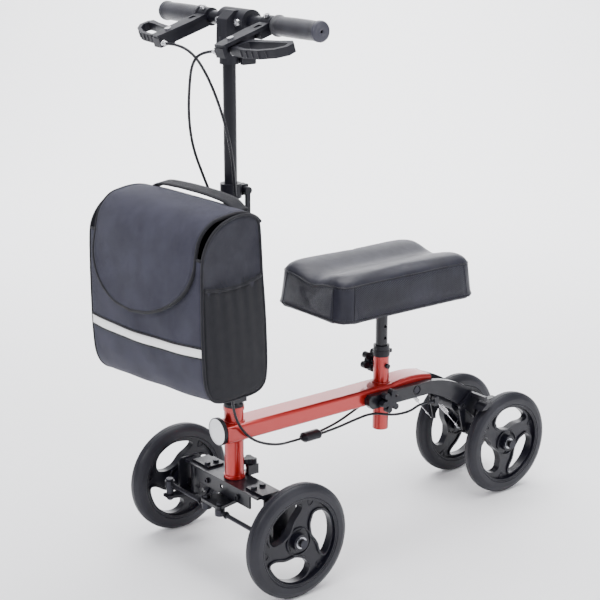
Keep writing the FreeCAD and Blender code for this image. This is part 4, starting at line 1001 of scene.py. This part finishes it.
def bag_strip():
    """The pale reflective strip across the bag's face, between two sewn dark borders."""
    outline = bag_outline(420)
    columns = 61
    borders = []
    for name, rows, offset, height, lift, thickness, material in (
            ("bag_reflective_strip", 4, 0.0, 13.6, 2.0, 0.0009, TAPE),
            ("bag_strip_border_upper", 3, 8.6, 3.4, 1.7, 0.0012, BINDING),
            ("bag_strip_border_lower", 3, -8.6, 3.4, 1.7, 0.0012, BINDING)):
        verts = []
        for row in range(rows):
            for j in range(columns):
                u = -0.99 + 1.98 * j / (columns - 1)
                z = 450.0 + 4.0 * u * u + offset + (row / (rows - 1) - 0.5) * height
                verts.append(bag_point(u, face_spot(outline, z), out=lift))
        strip = mesh_piece(name, verts, grid_faces(rows, columns), material)
        thicken(fix_normals(strip), thickness)
        finish(strip, "column")
        if material is TAPE:
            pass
        else:
            borders.append(strip)
    return borders


def side_pocket():
    """Gathered mesh pockets with an elastic hem on both side panels."""
    outline = bag_outline(300)
    rows = 26
    columns = 28
    for name, side in SIDES:
        verts = []
        hem = []
        for i in range(rows):
            t = i / (rows - 1)
            for j in range(columns):
                s = j / (columns - 1)
                base = 361.0 + 9.0 * (2 * s - 1) ** 6
                top = 557.0 - 8.0 * math.sin(math.pi * s)
                z = base + (top - base) * t
                near = [p[0] for p in outline if abs(p[1] - z) < 5.0]
                front = min(near) + 2.6
                back = max(near) - 2.6
                y = front + (back - front) * s
                rise = math.sin(math.pi * min(1.0, t * 0.93 + 0.07)) ** 0.5
                belly = 4.6 * math.sin(math.pi * s) ** 0.7 * rise
                folds = 0.8 * math.sin(s * 34.0 + 2.0 * t) * t
                point = on_bag(side * (bag_half(y) + 1.6 + belly + folds), y, z)
                verts.append(point)
                if i == rows - 1:
                    hem.append(point)
        pocket = mesh_piece("bag_mesh_pocket_" + name, verts, grid_faces(rows, columns), POCKET)
        thicken(fix_normals(pocket), 0.0009)
        elastic = tube_along("bag_pocket_elastic_" + name, hem, 0.0034, BINDING, sides=8, flat=0.6,
                             up=(1, 0, 0))
        for piece in (pocket, elastic):
            finish(piece, "column")


FLAP_HALF = 141.0
FLAP_END = 96.0
FLAP_TIP_Z = 496.0
FLAP_BACK = [(-44, 650), (-54, 659)]
FLAP_OVER = [(-72, 667.5), (-92, 671.5), (-118, 670), (-143, 664), (-161, 652), (-174, 635)]
FLAP_FACE = [(-181, 612), (-185, 580), (-188, 545), (-192, 515), (-195, FLAP_TIP_Z)]


def flap_line():
    """The flap's centre line: from behind the arch, over it and down the face."""
    return smooth_path([(y, z, 0) for y, z in FLAP_BACK + FLAP_OVER + FLAP_FACE], 72)


def flap_half_width(spot):
    """Straight sides, then an elliptical end."""
    drop = (FLAP_TIP_Z + FLAP_END - spot[1]) / FLAP_END
    if drop <= 0 or spot[0] > -100:
        return FLAP_HALF - 7.0 * max(0.0, (spot[0] + 110) / 60)
    return FLAP_HALF * math.sqrt(max(0.0, 1 - min(0.9999, drop) ** 2))


def flap_point(u, spot, lift=0.0):
    """A point of the flap: it curls at its edges and its tip stands off and to one side."""
    x = u * flap_half_width(spot)
    front = max(0.0, min(1.0, (-spot[0] - 130) / 50))
    low = max(0.0, min(1.0, (600.0 - spot[1]) / 104.0)) * front
    curl = 6.0 * front * (1 - low) * (x / FLAP_HALF) ** 2 - 5.0 * low * (x / FLAP_HALF) ** 2
    wave = 1.3 * math.sin(x * 0.031 + 1.0) * math.sin(spot[1] * 0.027)
    droop = 4.0 * abs(u) ** 5 * (1 - front)
    return on_bag(x - 14.0 * low * low, spot[0] + curl - (wave + lift) * front,
                  spot[1] - droop + lift * (1 - front))


FLAP_HINGE = (on_bag(0, -47, 652), on_bag(0, -66, 664))


def with_flap(obj):
    """Bakes the piece's transform into its mesh."""
    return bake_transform(obj)


def bag_flap():
    """The lid flap with its bound and stitched edge."""
    line = flap_line()
    across = 49
    verts = [flap_point(-1 + 2 * j / (across - 1), spot) for spot in line for j in range(across)]
    flap = mesh_piece("bag_flap_panel", verts, grid_faces(len(line), across), NYLON)
    thicken(fix_normals(flap), 0.0032)
    smooth(flap.data)
    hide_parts("bag_flap")
    with_flap(flap)
    edge = [flap_point(-1, spot) for spot in line] + [flap_point(1, spot) for spot in reversed(line)]
    binding = with_flap(tube_along("bag_flap_binding", smooth_path(edge, 300), 0.0030, BINDING, sides=10))
    inner = []
    for spots, sign in ((line[2:], -1), (line[:1:-1], 1)):
        for spot in spots:
            half = flap_half_width(spot)
            if half > 30:
                inner.append(flap_point(sign * (1 - 7.0 / half), spot, lift=1.9))
    thread = with_flap(stitches("bag_flap_thread", smooth_path(inner, 320), THREAD))


def ribbon(name, centres, across, width, thickness, material):
    """A flat strap: `across` is its width direction at every centre point."""
    rows = []
    for point, direction in zip(centres, across):
        for j in range(5):
            rows.append(point + Vector(direction).normalized() * (width * (j / 4 - 0.5)))
    strap = mesh_piece(name, rows, grid_faces(len(centres), 5), material)
    return thicken(fix_normals(strap), thickness)


def carry_handle():
    """The webbing handle sewn across the top of the flap."""
    points = [(-121, -70, 664), (-112, -71, 667.5), (-100, -71, 675), (-80, -71, 679), (-40, -71, 681),
              (0, -71, 681.5), (40, -71, 681), (80, -71, 678.5), (100, -71, 674.5), (112, -71, 668),
              (121, -70, 665)]
    line = smooth_path([on_bag(*p) for p in points], 60)
    across = [Vector((0.03, -1.0, -0.12))] * len(line)
    handle = ribbon("bag_carry_handle", line, across, 0.025, 0.0032, WEBBING)
    finish(handle, "bag_flap")


def hanger_straps():
    """Two webbing loops round the column and the bag's stiff back."""
    for name, z, cut in (("upper", 603.0, 0.185), ("lower", 443.0, 0.165)):
        ring = []
        for k in range(40):
            a = 2 * math.pi * k / 40
            ring.append(at(15.6 * math.cos(a), 15.6 * math.sin(a) - 0.5, z))
        verts = []
        for j in range(5):
            for point in ring:
                verts.append(point + Vector((0, 0, (j / 4 - 0.5) * 0.024)))
        loop = mesh_piece("loop", verts, grid_faces(5, 40, wrap_cols=True), WEBBING)
        parts = [thicken(fix_normals(loop), 0.0022)]
        tab = [at(x, y, z) for x, y in ((-11, -12), (-11, -22), (-11, -37 if z < 500 else -48))]
        for sign in (-1, 1):
            line = smooth_path([Vector((sign * p.x, p.y, p.z)) for p in tab], 10)
            parts.append(ribbon("tab", line, [Vector((0, 0, 1))] * 10, 0.024, 0.0022, WEBBING))
        strap = join("bag_hanging_strap_" + name, parts)
        if name == "upper":
            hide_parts("bag_hanger")
        finish(strap, "column")


# ---------------------------------------------------------------- cables
# Control points of each brake cable, in mm from the front axle line.
UPPER_LEFT = [(65, -76.4, 909.4), (38, -80, 906), (20, -86, 888), (8, -84, 850),
              (-8, -76, 800), (-20, -62, 750), (-25, -44, 708), (-21, -29, 668)]
UPPER_RIGHT = [(-65, -76.4, 909.4), (-34, -75, 911), (4, -70, 898), (28, -62, 866),
               (38, -48, 822), (43, -35, 772), (42, -24, 720), (36, -16, 668)]
LOWER = [(26, -22, 392), (32, -27, 345), (35, -27, 304), (35, -16, 268), (34, 10, 236),
         (30, 44, 217), (22, 82, 204), (9, 118, 197), (6, 150, 196)]
REAR_LEFT = [(9, 182, 196), (14, 220, 201), (19, 254, 209), (28, 292, 218), (42, 330, 208),
             (56, 360, 213), (50, 388, 219), (43.2, 413, 215)]
REAR_RIGHT = [(1, 182, 196), (-5, 218, 198), (-17, 254, 199), (-30, 296, 204), (-44, 334, 208),
              (-52, 364, 213), (-49, 388, 218), (-43.2, 413, 215)]


CABLE_RADIUS = 0.0024


def as_tube(obj):
    """The mesh of a cable and its centre line."""
    curve = obj.data
    name = obj.name
    tube = bpy.data.meshes.new_from_object(obj.evaluated_get(bpy.context.evaluated_depsgraph_get()))
    curve.bevel_depth = 0.0
    bpy.context.view_layer.update()
    line = bpy.data.meshes.new_from_object(obj.evaluated_get(bpy.context.evaluated_depsgraph_get()))
    path = [tuple(v.co) for v in line.vertices]
    bpy.data.objects.remove(obj)
    bpy.data.meshes.remove(line)
    smooth(tube)
    return link(bpy.data.objects.new(name, tube)), path


def cable(name, points, body, node=None):
    """A brake cable: one smooth spline led by its control points."""
    curve = bpy.data.curves.new(name, "CURVE")
    curve.dimensions = "3D"
    curve.bevel_depth = CABLE_RADIUS
    curve.bevel_resolution = 4
    curve.resolution_u = 12
    curve.use_fill_caps = True
    spline = curve.splines.new("NURBS")
    spline.points.add(len(points) - 1)
    for control, point in zip(spline.points, points):
        control.co = (*at(*point), 1.0)
    spline.order_u = 3
    spline.use_endpoint_u = True
    curve.materials.append(JACKET)
    obj = link(bpy.data.objects.new(name, curve))
    path = None
    if body == "handlebar":
        obj, path = as_tube(obj)
    if node:
        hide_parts(node)
    if path:
        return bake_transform(obj)
    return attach(obj, body)


def bare_wires():
    """The bare inner wires from the rear adjusters to the brake arms, each with its crimp."""
    parts = []
    for _, side in SIDES:
        x = 41.1 * side
        start = at(x, 441, 210)
        end = at(x, 505, 138.5)
        parts.append(tube_along("wire", [start.lerp(end, i / 6) for i in range(7)], 0.0008, STEEL, sides=8))
        parts.append(tube_along("crimp", [start.lerp(end, 0.78 + 0.08 * i / 3) for i in range(4)], 0.0018,
                                STEEL, sides=12))
    wires = join("brake_inner_wires", parts)
    return finish(wires, "frame")


def return_springs():
    """The coil springs that pull the rear brake arms off."""
    parts = []
    for _, side in SIDES:
        points = []
        start = at(side * 41.5, 446, 206)
        end = at(side * 41.5, 478, 171)
        axis = (end - start).normalized()
        across = axis.orthogonal().normalized()
        up = axis.cross(across)
        turns = 9
        radius = 0.0034
        for k in range(turns * 14 + 1):
            t = k / (turns * 14)
            a = 2 * math.pi * turns * t
            turn = (across * math.cos(a) + up * math.sin(a)) * radius
            points.append(start.lerp(end, 0.18 + 0.5 * t) + turn)
        parts.append(tube_along("coil", points, 0.0006, STEEL, sides=7))
    springs = join("brake_return_springs", parts)
    return finish(springs, "frame")


# ---------------------------------------------------------------- frame details
def weld_bead(name, centre, radius, z, spread=0.0):
    """A rippled bead where a tube passes through the beam."""
    points = []
    for k in range(140):
        a = 2 * math.pi * k / 140
        ripple = 0.35 * math.sin(a * 34)
        r = radius + 0.9 + 0.3 * ripple
        points.append(at(r * math.cos(a), centre + r * math.sin(a), z + 0.5 + 0.3 * ripple + spread))
    bead = tube_along(name, points, 0.0019, RED, closed=True, sides=8)
    return finish(bead, "frame")


def reflector_rim():
    """The moulded ring that holds the reflector's lens."""
    a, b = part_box("front_reflector")
    centre = Vector(((a.x + b.x) / 2, b.y, (a.z + b.z) / 2))
    outer = (b.x - a.x) / 2 / MM
    corners = [(-1.0, outer - 1.6), (4.3, outer - 1.6), (4.3, outer + 0.3), (-1.0, outer + 0.3)]
    profile = round_profile(corners, 0.8, 4)
    rim = lathe("reflector_rim", profile, centre, (0, -1, 0), PLASTIC, 96)
    return finish(rim, "frame")


def build_object():
    paint_frame()
    for name, turn in WHEEL_TURN.items():
        moulded_tyre(name)
        rim_rings(name)
        hub_shields(name)
        spoke_ribs(name, turn)
    moulded_grips()
    grip_caps()
    for name, side in SIDES:
        finger_ridges(name, side)
    adjuster_nuts()
    knee_pad()
    bag_body()
    side_pocket()
    bag_flap()
    carry_handle()
    hanger_straps()
    cable("upper_brake_cable_left", UPPER_LEFT, "handlebar", node="upper_cable_left")
    cable("upper_brake_cable_right", UPPER_RIGHT, "handlebar", node="upper_cable_right")
    cable("lower_brake_cable", LOWER, "frame", node="lower_cable")
    cable("rear_brake_cable_left", REAR_LEFT, "frame", node="rear_cables")
    cable("rear_brake_cable_right", REAR_RIGHT, "frame")
    bare_wires()
    return_springs()
    weld_bead("head_tube_weld_top", 0.0, 17.0, 262.0)
    weld_bead("head_tube_weld_base", 0.0, 17.0, 230.0, -1.0)
    weld_bead("seat_tube_weld_top", 336.0, 14.8, 262.0)
    weld_bead("seat_tube_weld_base", 336.0, 14.8, 230.0, -1.0)
    reflector_rim()


# ---------------------------------------------------------------- studio
def floor():
    """A pale floor that curves up into a plain backdrop behind the object."""
    verts = []
    rows = 40
    away = Vector((-0.79, 0.61, 0))
    across = Vector((0.61, 0.79, 0))
    for i in range(rows):
        t = i / (rows - 1)
        if t < 0.4:
            reach = -6 + 9.0 * t / 0.4
            height = 0.0
        elif t < 0.7:
            a = (t - 0.4) / 0.3 * math.pi / 2
            reach = 3 + 3.0 * math.sin(a)
            height = 3.0 - 3.0 * math.cos(a)
        else:
            reach = 6.0
            height = 3.0 + 6.0 * (t - 0.7) / 0.3
        for j in range(2):
            verts.append(away * reach + across * (16 * (j - 0.5)) + Vector((0, 0, height)))
    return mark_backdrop(mesh_piece("studio_floor", verts, grid_faces(rows, 2), stage_paint()))


def area_light(name, place, target, size, energy, colour=(1, 1, 1)):
    light = bpy.data.lights.new(name, "AREA")
    light.shape = "RECTANGLE"
    light.size = size[0]
    light.size_y = size[1]
    light.energy = energy
    light.color = colour
    obj = link(bpy.data.objects.new(name, light))
    obj.location = place
    obj.rotation_euler = (Vector(target) - Vector(place)).to_track_quat("-Z", "Y").to_euler()
    return obj


def studio():
    """Floor, soft lights and the camera."""
    floor()
    area_light("key_light", (1.2, -3.0, 2.4), (0, 0, 0.4), (2.4, 1.0), 60)
    area_light("fill_light", (3.2, 1.2, 1.6), (0, 0.1, 0.4), (1.2, 2.0), 34)
    area_light("top_light", (-0.4, 0.4, 4.2), (-0.4, 0.4, 0.0), (5.0, 5.0), 420)
    area_light("backdrop_light", (-2.0, 1.6, 3.4), (-4.6, 3.6, 0.6), (3.0, 2.0), 320)
    world = bpy.data.worlds.new("studio_world")
    world.use_nodes = True
    background = world.node_tree.nodes["Background"]
    background.inputs["Color"].default_value = (0.93, 0.94, 1.0, 1.0)
    background.inputs["Strength"].default_value = 0.45
    bpy.context.scene.world = world
    camera = bpy.data.cameras.new("camera")
    camera.sensor_width = 36.0
    camera.lens = 91.66
    camera.clip_end = 60.0
    obj = link(bpy.data.objects.new("camera", camera))
    obj.location = at(2031.8, -1434.4, 1198.3)
    aim = at(0, 145.2, 453.3)
    obj.rotation_euler = (aim - obj.location).to_track_quat("-Z", "Y").to_euler()
    bpy.context.scene.camera = obj


build_object()
studio()
